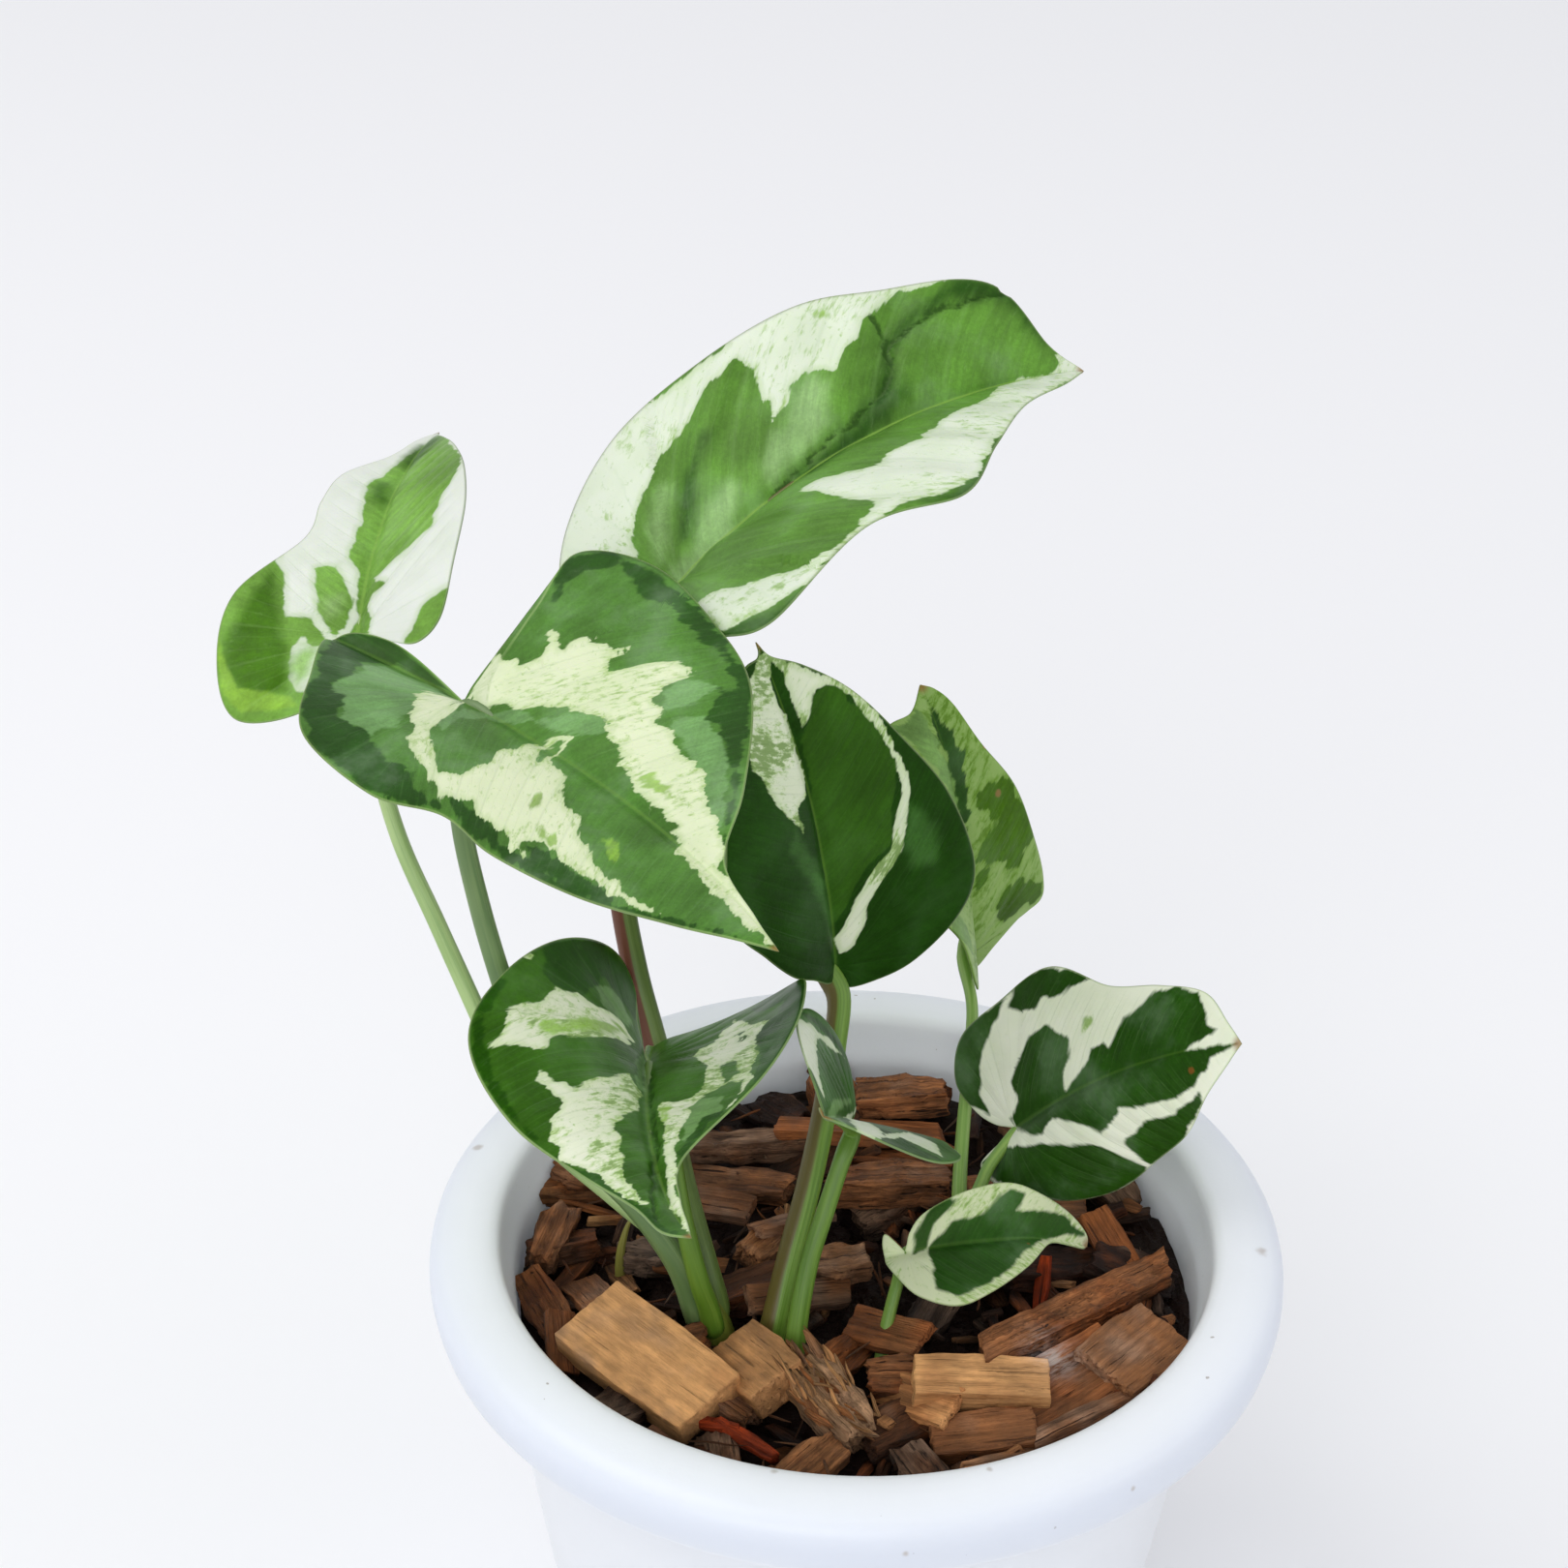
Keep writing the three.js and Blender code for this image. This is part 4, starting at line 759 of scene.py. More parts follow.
def shader_group(name):
    """The node group of that name, made when it is first asked for."""
    if name not in bpy.data.node_groups:
        fill, colours, values, outputs = GROUPS[name]
        group = bpy.data.node_groups.new(name, "ShaderNodeTree")
        for label in colours:
            group.interface.new_socket(name=label, in_out="INPUT", socket_type="NodeSocketColor")
        for label, default in values.items():
            socket = group.interface.new_socket(name=label, in_out="INPUT", socket_type="NodeSocketFloat")
            socket.default_value = default
        for label in outputs:
            kind = "NodeSocketColor" if label == "Color" else "NodeSocketFloat"
            group.interface.new_socket(name=label, in_out="OUTPUT", socket_type=kind)
        tree = Tree(group)
        fill(tree, tree.node("NodeGroupInput", {}).outputs, tree.node("NodeGroupOutput", {}).inputs)
    return bpy.data.node_groups[name]


def new_material(name, constants):
    """A material whose Principled shader has these plain values, its tree and the shader's inputs."""
    material = bpy.data.materials.new(name)
    material.use_nodes = True
    shader = material.node_tree.nodes["Principled BSDF"].inputs
    for label, value in constants.items():
        shader[label].default_value = value
    return material, Tree(material.node_tree), shader


def fill_jag(tree, given, out):
    """Unevenness that runs along the lateral veins, in millimetres."""
    veins, seed = tree.vector_value("veins"), given["Seed"]
    coarse = tree.streaks(veins, (0.27, 0.12, 0.0), 1.0, 0.5, seed)
    fine = tree.streaks(veins, (0.85, 0.34, 0.0), 2.0, 0.6, seed)
    coarse = tree.times(tree.less(coarse, 0.5), 4.2)
    fine = tree.times(tree.less(fine, 0.5), 2.0)
    tree.feed(tree.times(tree.add(coarse, fine), given["Amount"]), out["Offset"])
    streak = tree.streaks(veins, (0.8, 0.16, 0.0), 3.0, 0.6, seed)
    tree.feed(streak, out["Streak"])


def fill_variegation_and_painted_light(tree, given, out):
    """The cream, pale, deep and lime markings of a blade, from the distances to their outlines, with painted
    sheen, painted highlights and painted shade among them.
    """
    veins, flat, seed = tree.vector_value("veins"), tree.vector_value("flat"), given["Seed"]
    jag = tree.group("Vein Jag", {"Seed": seed, "Amount": given["Jag"]})
    offset, streak = jag["Offset"], jag["Streak"]

    def moved(name):
        return tree.add(tree.value(name), offset)

    def mask(name, softness):
        return tree.ramp(moved(name), -softness, softness)

    # Cream, with a greenish cloud, small green strokes along the veins and a few dots
    cloud = tree.ramp(tree.noise(flat, 0.10, 2.0, 0.5, seed), 0.35, 0.7)
    cream = tree.mix(tree.times(cloud, 0.12), given["Cream"], given["Lime"])
    halo = tree.ramp(moved("cream"), 0.1, 1.5, 0.26, 0.0)
    halo = tree.times(halo, tree.less(1.0, given["Cream Ground"]))
    near_green = tree.ramp(moved("green"), -1.6, -0.2, 0.0, 0.26)
    cream = tree.mix(tree.most(halo, near_green), cream, given["Lime"])
    crowd = tree.ramp(tree.noise(flat, 0.085, 1.0, 0.5, seed), 0.36, 0.64)
    amount = tree.times(crowd, given["Speckle"])
    stroke = tree.streaks(veins, (0.85, 0.5, 0.0), 4.0, 0.62, seed)
    stroke = tree.add(stroke, tree.times(amount, 0.12))
    dots = tree.noise(flat, 0.9, 3.0, 0.6, seed)
    dots = tree.add(dots, tree.times(amount, 0.06))
    fleck = tree.most(tree.ramp(stroke, 0.56, 0.74), tree.ramp(dots, 0.62, 0.78))
    flecked = tree.math("MINIMUM", tree.times(given["Speckle"], 0.8), 0.68)
    cream = tree.mix(tree.times(fleck, flecked), cream, given["Lime"])
    dense = tree.ramp(tree.add(stroke, tree.times(amount, 0.05)), 0.72, 0.84)
    cream = tree.mix(tree.times(dense, tree.times(flecked, 0.6)), cream, given["Green"])

    # Green, streaked along the veins, clouded, lightened by frost-like flecks and overlaid with a painted
    # bluish-grey sheen
    broad = tree.ramp(tree.noise(flat, 0.07, 3.0, 0.55, seed), 0.3, 0.7, 0.74, 1.24)
    along = tree.ramp(streak, 0.3, 0.7, 0.88, 1.14)
    grain = tree.ramp(tree.noise(flat, 1.7, 3.0, 0.65, seed), 0.3, 0.7, 0.90, 1.10)
    tone = tree.times(tree.times(broad, along), grain)
    tone_colour = tree.node("ShaderNodeCombineColor", {0: tone, 1: tone, 2: tone}).outputs[0]
    frost = tree.streaks(veins, (1.3, 0.5, 0.0), 3.0, 0.6, seed)
    frost = tree.ramp(frost, 0.56, 0.76, 0.0, 0.26)
    # Painted sheen: pale bluish-grey clouds stand in for the soft reflections on the blade
    painted_sheen = tree.ramp(tree.noise(flat, 0.075, 4.0, 0.6, seed), 0.47, 0.72)
    painted_sheen = tree.times(painted_sheen, given["Painted Sheen"])

    def leafy(green):
        lit = tree.mix(frost, green, tree.mix(0.6, green, given["Pale"]))
        lit = tree.mix(1.0, lit, tone_colour, "MULTIPLY")
        return tree.mix(painted_sheen, lit, tint("painted_sheen"))

    soft = given["Softness"]
    edge = tree.times(soft, -1.0)
    cream_mask = tree.most(mask("cream", 0.22), given["Cream Ground"])
    isle = mask("green", 0.28)
    painted = tree.mix(cream_mask, leafy(given["Ground"]), cream)
    painted = tree.mix(isle, painted, leafy(given["Green"]))
    leafy_part = tree.most(tree.less(1.0, cream_mask), isle)
    leafy_part = tree.most(leafy_part, given["Cream Ground"])
    # Pale patches are partly grey-green markings and partly painted sheen and highlights on the swellings
    # between the veins
    pale_and_sheen_mask = tree.times(tree.ramp(moved("pale"), edge, soft), leafy_part)
    painted = tree.mix(pale_and_sheen_mask, painted, leafy(given["Pale"]))
    # Deep patches are partly dark-green markings and partly painted shade in folds and on turned-down margins
    deep_and_shade_mask = tree.times(tree.ramp(moved("deep"), edge, soft), leafy_part)
    painted = tree.mix(deep_and_shade_mask, painted, leafy(given["Deep"]))
    painted = tree.mix(tree.times(mask("lime", 0.5), 0.8), painted, leafy(given["Lime"]))

    # Lateral veins, midrib, painted shade along the creases, margin with a painted edge highlight, and tip
    line = tree.math("ABSOLUTE", tree.less(tree.math("FRACT", tree.value("vein_count")), 0.5))
    line = tree.times(tree.ramp(line, 0.44, 0.5), tree.value("vein_show"))
    # Twigs lie thrice as close as the veins
    twigs = tree.add(tree.times(tree.value("vein_count"), 3.0), tree.times(offset, 0.25))
    twigs = tree.math("ABSOLUTE", tree.less(tree.math("FRACT", twigs), 0.5))
    twigs = tree.times(tree.ramp(twigs, 0.40, 0.5, 0.0, 0.5), tree.value("vein_show"))
    line = tree.most(line, twigs)
    painted = tree.mix(tree.times(line, 0.12), painted, given["Pale"])
    rib = tree.times(tree.ramp(tree.value("rib"), 0.1, 0.5, 1.0, 0.0), given["Rib"])
    # Painted shade: darker green along each crease, where the fold lies in shadow
    crinkle = tree.times(tree.noise(flat, 0.55, 3.0, 0.65, seed), 2.6)
    crease = tree.ramp(tree.add(tree.value("crease"), crinkle), 1.35, 2.1, 0.8, 0.0)
    painted = tree.mix(crease, painted, tree.mix(0.35, given["Deep"], tint("crease")))
    painted = tree.mix(rib, painted, tree.mix(0.8, given["Pale"], given["Lime"]))
    # Painted highlight: a pale line along the margin, where the edge catches the light
    rim = tree.ramp(tree.value("margin"), 0.05, 0.35, 0.45, 0.0)
    painted = tree.mix(rim, painted, tree.mix(0.35, given["Lime"], given["Cream"]))
    tip = tree.ramp(tree.value("tip"), 0.6, 2.4, 0.75, 0.0)
    painted = tree.mix(tip, painted, tint("dry tip"))
    tree.feed(painted, out["Color"])
    tree.feed(line, out["Vein"])


def fill_stalk(tree, given, out):
    """Fine lengthwise streaks, a red-brown flush and pale dots for stalks and stems."""
    skin, seed = tree.vector_value("skin"), given["Seed"]
    streak = tree.streaks(skin, (3.4, 0.035, 0.0), 2.0, 0.6, seed)
    body = tree.streaks(skin, (0.9, 0.05, 0.0), 1.0, 0.5, seed)
    blend = tree.add(tree.times(streak, 0.45), tree.times(body, 0.55))
    base = tree.mix(tree.ramp(blend, 0.36, 0.66, 0.1, 0.9), given["Green"], given["Light"])
    cloud = tree.streaks(skin, (0.22, 0.045, 0.0), 2.0, 0.5, seed)
    flush = tree.ramp(tree.add(cloud, tree.value("flush")), 0.62, 1.05)
    flush = tree.times(flush, given["Flush Share"])
    base = tree.mix(flush, base, given["Flush"])
    dots = tree.noise(skin, 0.9, 1.0, 0.4, seed)
    base = tree.mix(tree.ramp(dots, 0.72, 0.80, 0.0, 0.35), base, given["Light"])
    tree.feed(base, out["Color"])
    tree.feed(streak, out["Height"])


def fill_bark(tree, given, out):
    """Wood grain along a chip, with dark cracks, fibres and damp patches, and painted shade in low places and
    on the loose mix between the chips.
    """
    grain = tree.vector_value("grain")
    tone, chip, sawn = tree.value("tone"), tree.value("chip"), tree.value("sawn")
    # Growth rings, fibres, blotches and mottling, each stretched along the chip
    rings = tree.streaks(grain, (0.035, 0.75, 0.75), 4.0, 0.62, chip)
    fibre = tree.streaks(grain, (0.12, 3.4, 3.4), 3.0, 0.6, chip)
    blotch = tree.noise(grain, 0.13, 3.0, 0.55, chip)
    mottle = tree.streaks(grain, (0.22, 0.8, 0.8), 4.0, 0.65, chip)
    # From the dark mix, painted near-black as shadow in the gaps, to fresh tan bark, with grey, rust and ruddy
    # chips
    base = tree.mix(tree.ramp(tone, -0.4, 0.0), given["Crack And Gap Shadow"], given["Dark"])
    base = tree.mix(tree.ramp(tone, 0.0, 0.5), base, given["Brown"])
    base = tree.mix(tree.ramp(tone, 0.5, 1.0), base, given["Tan"])
    own = tree.noise((3.1, 5.7, 1.3), 1.0, 0.0, 0.5, tree.times(chip, 7.31))
    patch = tree.noise(grain, 0.12, 2.0, 0.5, chip)
    patch = tree.add(tree.times(patch, 0.45), tree.times(own, 0.55))
    grey = tree.ramp(patch, 0.50, 0.64, 0.0, 0.6)
    base = tree.mix(grey, base, tint("grey bark"))
    rust = tree.ramp(patch, 0.48, 0.36, 0.0, 0.6)
    away = tree.less(1.0, sawn)
    rust = tree.times(rust, tree.most(away, 0.35))
    base = tree.mix(rust, base, tint("rust bark"))
    base = tree.mix(tree.value("ruddy"), base, tint("ruddy bark"))
    # Rough chips have strong grain, sawn boards a quiet one, and low places lie in shade
    plain_rings = tree.streaks(grain, (0.014, 0.55, 0.55), 2.0, 0.5, chip)
    plain_rings = tree.ramp(plain_rings, 0.3, 0.7, 0.84, 1.12)
    plain_fibre = tree.ramp(fibre, 0.3, 0.7, 0.93, 1.05)
    shade = tree.times(tree.ramp(rings, 0.32, 0.66, 0.52, 1.30), tree.ramp(fibre, 0.3, 0.7, 0.72, 1.24))
    plain = tree.times(plain_rings, plain_fibre)
    shade = tree.add(tree.times(shade, away), tree.times(plain, sawn))
    cloud = tree.less(tree.ramp(blotch, 0.34, 0.66, 0.60, 1.28), 1.0)
    cloud = tree.times(cloud, tree.less(1.0, tree.times(sawn, 0.6)))
    shade = tree.times(shade, tree.add(cloud, 1.0))
    shade = tree.times(shade, tree.ramp(mottle, 0.3, 0.7, 0.78, 1.16))
    shade = tree.times(shade, tree.ramp(tree.value("height"), 97.0, 103.0, 0.22, 1.10, False))
    shade_colour = tree.node("ShaderNodeCombineColor", {0: shade, 1: shade, 2: shade}).outputs[0]
    base = tree.mix(1.0, base, shade_colour, "MULTIPLY")
    # Cracks, the loose mix painted near-black as shadow between the chips, and the pale mineral bloom
    crack = tree.streaks(grain, (0.06, 1.6, 1.6), 2.0, 0.5, chip)
    crack = tree.ramp(crack, 0.30, 0.38, 0.9, 0.0)
    crack = tree.times(crack, tree.less(1.0, tree.times(sawn, 0.75)))
    base = tree.mix(crack, base, given["Crack And Gap Shadow"])
    base = tree.mix(tree.ramp(tone, -0.4, -0.1, 0.85, 0.0), base, given["Crack And Gap Shadow"])
    bloom = tree.times(tree.value("bloom"), tree.ramp(mottle, 0.35, 0.6, 0.0, 0.75))
    base = tree.mix(bloom, base, tint("bark bloom"))
    tree.feed(base, out["Color"])
    height = tree.add(tree.times(rings, 0.6), tree.times(fibre, 0.4))
    height = tree.times(height, tree.less(1.0, tree.times(sawn, 0.7)))
    height = tree.add(height, tree.times(mottle, 0.25))
    tree.feed(tree.less(height, tree.times(crack, 0.5)), out["Height"])
    tree.feed(tree.ramp(blotch, 0.4, 0.65, 0.52, 0.84), out["Dampness"])


# Each node group: what fills it, its colour inputs, its other inputs and its outputs
GROUPS = {
    "Vein Jag": (fill_jag, [], {"Seed": 0.0, "Amount": 1.0}, ["Offset", "Streak"]),
    "Variegation And Painted Light": (
        fill_variegation_and_painted_light, ["Ground", "Green", "Cream", "Pale", "Deep", "Lime"],
        {"Seed": 0.0, "Jag": 1.0, "Speckle": 0.5, "Cream Ground": 0.0, "Softness": 0.4, "Rib": 0.2, "Painted Sheen": 0.2},
        ["Color", "Vein"]),
    "Stalk Skin": (
        fill_stalk, ["Green", "Light", "Flush"], {"Flush Share": 0.3, "Seed": 0.0}, ["Color", "Height"]),
    "Bark Grain And Painted Shade": (fill_bark, ["Dark", "Brown", "Tan", "Crack And Gap Shadow"], {}, ["Color", "Height", "Dampness"]),
}


# Blade

def spine_table(leaf):
    """Stations of the midrib, from behind the stalk to the tip."""
    share = np.linspace(-0.5, 1.0, SPINE_STATIONS)
    pitch = np.radians(leaf["pitch"] + leaf["droop"] * share + leaf["droop_growth"] * share ** 2)
    heading = np.radians(leaf["heading"] + leaf["sweep"] * share)
    along = np.stack([np.cos(pitch) * np.cos(heading), np.cos(pitch) * np.sin(heading), np.sin(pitch)], -1)
    step = (share[1] - share[0]) * leaf["length"]
    place = np.vstack([np.zeros(3), np.cumsum(0.5 * (along[1:] + along[:-1]) * step, 0)])
    start = [np.interp(0, share, place[:, axis]) for axis in range(3)]
    return share, place - start + np.array(leaf["base"], float)


def bend_blade(leaf, x, y):
    """Place flat points on the bent blade, with the upward normal of each."""
    stations, spine = spine_table(leaf)
    share = x / leaf["length"]
    place = np.stack([np.interp(share, stations, spine[:, axis]) for axis in range(3)], -1)
    pitch = np.radians(leaf["pitch"] + leaf["droop"] * share + leaf["droop_growth"] * share ** 2)
    heading = np.radians(leaf["heading"] + leaf["sweep"] * share)
    along = np.stack([np.cos(pitch) * np.cos(heading), np.cos(pitch) * np.sin(heading), np.sin(pitch)], -1)
    level = np.stack([-np.sin(heading), np.cos(heading), np.zeros_like(heading)], -1)
    over = np.cross(along, level)
    roll = np.radians(leaf["roll"] + leaf["twist"] * share)[:, None]
    to_left = np.cos(roll) * level + np.sin(roll) * over
    up = np.cos(roll) * over - np.sin(roll) * level
    is_left = y >= 0
    left, right = leaf["left"], leaf["right"]

    def half(key):
        return np.radians(np.where(
            is_left, left[key] + left[key + "_growth"] * share, right[key] + right[key + "_growth"] * share))

    reach = np.abs(y)
    width = CURL_WIDTH_SHARE * leaf["length"]
    fold, curl = half("fold"), half("curl")
    curl = np.where(np.abs(curl) < 0.001, 0.001, curl)
    slope = fold + curl * reach / width
    out = (np.sin(slope) - np.sin(fold)) * width / curl
    lift = (np.cos(fold) - np.cos(slope)) * width / curl
    side = np.where(is_left, 1.0, -1.0)
    point = place + (side * out)[:, None] * to_left + lift[:, None] * up
    normal = np.cos(slope)[:, None] * up - (side * np.sin(slope))[:, None] * to_left
    return point, normal


def vein_place(leaf, x, y):
    """How far along the midrib the lateral vein through a flat point starts."""
    length = leaf["length"]
    reach = np.abs(y)
    ahead = x - VEIN_SLANT * reach - VEIN_BEND * reach ** 2 / length
    angle = np.arctan2(reach, x)
    behind = -0.42 * length * (angle - FIRST_VEIN_ANGLE) / (math.pi - FIRST_VEIN_ANGLE)
    return np.where(ahead > 0, ahead, np.where(angle > FIRST_VEIN_ANGLE, behind, ahead))


def chain_distance(x, y, chain):
    """Distance of each flat point to the nearest of the straight lines between the points of a chain."""
    nearest = np.full(len(x), np.inf)
    for (ax, ay), (bx, by) in zip(chain, chain[1:]):
        dx, dy = bx - ax, by - ay
        span = dx * dx + dy * dy
        if span > 1e-12:
            share = np.clip(((x - ax) * dx + (y - ay) * dy) / span, 0, 1)
            nearest = np.minimum(nearest, np.hypot(x - ax - share * dx, y - ay - share * dy))
    return nearest


def outline_distance(outlines, x, y):
    """Signed distance to the nearest outline, more than zero inside one."""
    best = np.full(x.shape, -FAR_AWAY)
    for outline in outlines:
        ring = np.array(outline, float)
        inside = np.zeros(x.shape, bool)
        for (ax, ay), (bx, by) in zip(ring, np.roll(ring, -1, 0)):
            if ay != by:
                inside ^= ((ay > y) != (by > y)) & (x < (bx - ax) * (y - ay) / (by - ay) + ax)
        nearest = chain_distance(x, y, np.vstack([ring, ring[:1]]))
        best = np.maximum(best, np.where(inside, nearest, -nearest))
    return np.clip(best, -FAR_AWAY, FAR_AWAY)


def blade_sheet(leaf, around, across):
    """Flat grid points of a whole blade, its faces, its rim loop and their measures."""
    length = leaf["length"]
    share = np.linspace(0, 1, around + 1)
    anchor = length * np.clip((share - FAN_SHARE) / (1 - FAN_SHARE), 0, 1)
    step = np.linspace(0, 1, across + 1)
    step -= 0.10 * np.sin(2 * math.pi * step) / (2 * math.pi)
    points, quads, rims = [], [], []
    for side, key in enumerate(("left", "right")):
        margin = catmull_rom([(0, 0)] + leaf[key]["margin"] + [(length, 0)], around + 1)
        flat = np.zeros((around + 1, across + 1, 2))
        flat[:, :, 0] = anchor[:, None] + (margin[:, None, 0] - anchor[:, None]) * step
        flat[:, :, 1] = margin[:, None, 1] * step
        offset = side * (around + 1) * (across + 1)
        index = offset + np.arange((around + 1) * (across + 1)).reshape(around + 1, across + 1)
        corners = np.stack([index[:-1, :-1], index[1:, :-1], index[1:, 1:], index[:-1, 1:]], -1).reshape(-1, 4)
        quads.append(corners if key == "right" else corners[:, ::-1])
        rims.append(index[:, -1])
        points.append(flat.reshape(-1, 2))
    points = np.vstack(points)
    # Points that both halves share become one
    _, first, mapped = np.unique(np.round(points, 6), axis=0, return_index=True, return_inverse=True)
    mapped = mapped.ravel()
    points = points[first]
    faces = []
    for quad in mapped[np.vstack(quads)]:
        ring = [int(v) for place, v in enumerate(quad) if v != quad[place - 1]]
        if len(set(ring)) >= 3:
            faces.append(ring)
    loop = [int(v) for v in mapped[rims[0]]] + [int(v) for v in mapped[rims[1]][::-1]]
    loop = [v for place, v in enumerate(loop) if v != loop[place - 1]]
    return points, faces, loop


def noise_field(x, y, scale, seed):
    """Smooth noise over the flat blade, from about -1 to 1."""
    return np.array([noise.noise(Vector((a * scale, b * scale, seed * 7.3))) for a, b in zip(x, y)])


def build_blade(leaf, settings, number):
    """Vertices, faces and vertex measures of one blade with both its sheets."""
    flat, faces, loop = blade_sheet(leaf, settings.blade_steps, settings.blade_steps // 5)
    x, y = flat[:, 0], flat[:, 1]
    reach = np.abs(y)
    length = leaf["length"]
    spacing = length / leaf.get("vein_pairs", settings.vein_pairs)
    vein = vein_place(leaf, x, y)
    to_margin = chain_distance(x, y, flat[loop + loop[:1]])
    # Grooves over the lateral veins and swellings between them, which fade out to the margin
    wave = np.abs((vein / spacing) % 1 - 0.5) * 2
    fade = np.clip(reach / 5, 0, 1) * np.clip(to_margin / 5, 0, 1) * np.clip((length - x) / 14, 0, 1)
    groove = np.clip((wave - 0.72) / 0.28, 0, 1) ** 2
    relief = settings.vein_depth * (-groove) * fade
    bulge = np.cos(np.pi * np.clip(wave, 0, 1)) * 0.5 + 0.5
    uneven = 0.55 + 0.9 * noise_field(vein, y, 0.06, number + 40)
    relief += settings.quilting * leaf["quilting"] * (bulge - 0.5) * fade * uneven
    # Waves of the whole sheet and fine ones of its skin
    relief += 0.22 * noise_field(x, y, 0.10, number) * np.clip(to_margin / 4, 0, 1)
    relief += 0.05 * noise_field(x, y, 0.5, number + 20) * fade
    rib_width = 1.9 - 1.2 * np.clip(x / length, 0, 1)
    relief -= settings.rib_depth * np.exp(-(reach / rib_width) ** 2) * np.clip((length - x) / 20, 0, 1)
    # Distance to the nearest crease, along which the blade is painted darker as shade
    crease = np.full(len(x), FAR_AWAY)
    for wrinkle in leaf["wrinkles"]:
        away = crease_distance(wrinkle["line"], x, y)
        relief -= wrinkle["depth"] * np.exp(-(away / wrinkle["width"]) ** 2)
        crease = np.minimum(crease, away)
    point, normal = bend_blade(leaf, x, y)
    point = point + relief[:, None] * normal
    half = HALF_THICKNESS - MARGIN_THINNING * np.exp(-to_margin / 0.5)
    top = point + half[:, None] * normal
    under = point - half[:, None] * normal
    count = len(flat)
    sheet = faces + [[v + count for v in face[::-1]] for face in faces]
    # A ring of faces to either sheet rounds off the margin
    outward = rim_directions(point, loop, normal)
    bead = point[loop] + MARGIN_THINNING * outward
    first = 2 * count
    for place, v in enumerate(loop):
        after = (place + 1) % len(loop)
        w = loop[after]
        sheet.append([w, v, first + place, first + after])
        sheet.append([first + after, first + place, v + count, w + count])
    vertices = np.vstack([top, under, bead])
    order = np.concatenate([np.arange(count), np.arange(count), np.array(loop)])
    marks = MARKINGS[leaf["name"]]
    measures = {name: outline_distance(marks.get(name, []), x, y)[order]
                for name in ("cream", "green", "deep", "pale", "lime")}
    measures["crease"] = crease[order]
    measures["margin"] = to_margin[order]
    measures["rib"] = (reach / (rib_width / 1.9 + 0.15))[order]
    measures["tip"] = np.hypot(x - length, y)[order]
    measures["vein_count"] = (vein / spacing)[order]
    measures["vein_show"] = fade[order]
    measures["under"] = np.concatenate([np.zeros(count), np.ones(count), np.zeros(len(loop))])
    vectors = {
        "flat": np.stack([x, y, np.zeros(count)], -1)[order],
        "veins": np.stack([vein, y, np.zeros(count)], -1)[order],
    }
    return vertices, sheet, measures, vectors


def crease_distance(line, x, y):
    """Distance of each flat point to a crease, which wavers a little."""
    x, y = x + 0.9 * noise_field(x, y, 0.35, 61), y + 0.9 * noise_field(x, y, 0.35, 62)
    return np.minimum(chain_distance(x, y, np.array(line, float)), FAR_AWAY)


def rim_directions(point, loop, normal):
    """Outward directions in the sheet at each rim point."""
    ring = point[loop]
    ahead = np.roll(ring, -1, 0) - np.roll(ring, 1, 0)
    out = np.cross(ahead, normal[loop])
    return out / np.maximum(np.linalg.norm(out, axis=1), 1e-9)[:, None]


def round_faces(rings, sides):
    """Faces of a round form of that many rings, closed by a middle point at each end."""
    faces = []
    for first in range(0, (rings - 1) * sides, sides):
        for side in range(sides):
            a, b = first + side, first + (side + 1) % sides
            faces.append([a, b, b + sides, a + sides])
    start, last = rings * sides, (rings - 1) * sides
    for side in range(sides):
        after = (side + 1) % sides
        faces.append([start, after, side])
        faces.append([start + 1, last + side, last + after])
    return faces


def tube(points, radii, sides, profile=None):
    """Vertices, faces and skin measures of a round tube along a path."""
    points = np.asarray(points, float)
    ahead = np.gradient(points, axis=0)
    ahead /= np.linalg.norm(ahead, axis=1)[:, None]
    across = np.cross(ahead[0], (0.3, 0.2, 1.0))
    across /= np.linalg.norm(across)
    frames = []
    for direction in ahead:
        across = across - direction * np.dot(across, direction)
        across /= np.linalg.norm(across)
        frames.append((across, np.cross(direction, across)))
    turn = np.linspace(0, 2 * math.pi, sides, endpoint=False)
    reach = np.concatenate([[0], np.cumsum(np.linalg.norm(np.diff(points, axis=0), axis=1))])
    vertices, skin = [], []
    for row, (place, radius, (a, b)) in enumerate(zip(points, radii, frames)):
        for angle in turn:
            grow = radius * (profile(angle, row / (len(points) - 1)) if profile else 1.0)
            vertices.append(place + grow * (math.cos(angle) * a + math.sin(angle) * b))
            skin.append((math.cos(angle) * radius + angle, reach[row], math.sin(angle)))
    vertices += [points[0], points[-1]]
    skin += [(0, 0, 0), (0, reach[-1], 0)]
    return np.array(vertices), round_faces(len(points), sides), np.array(skin), reach


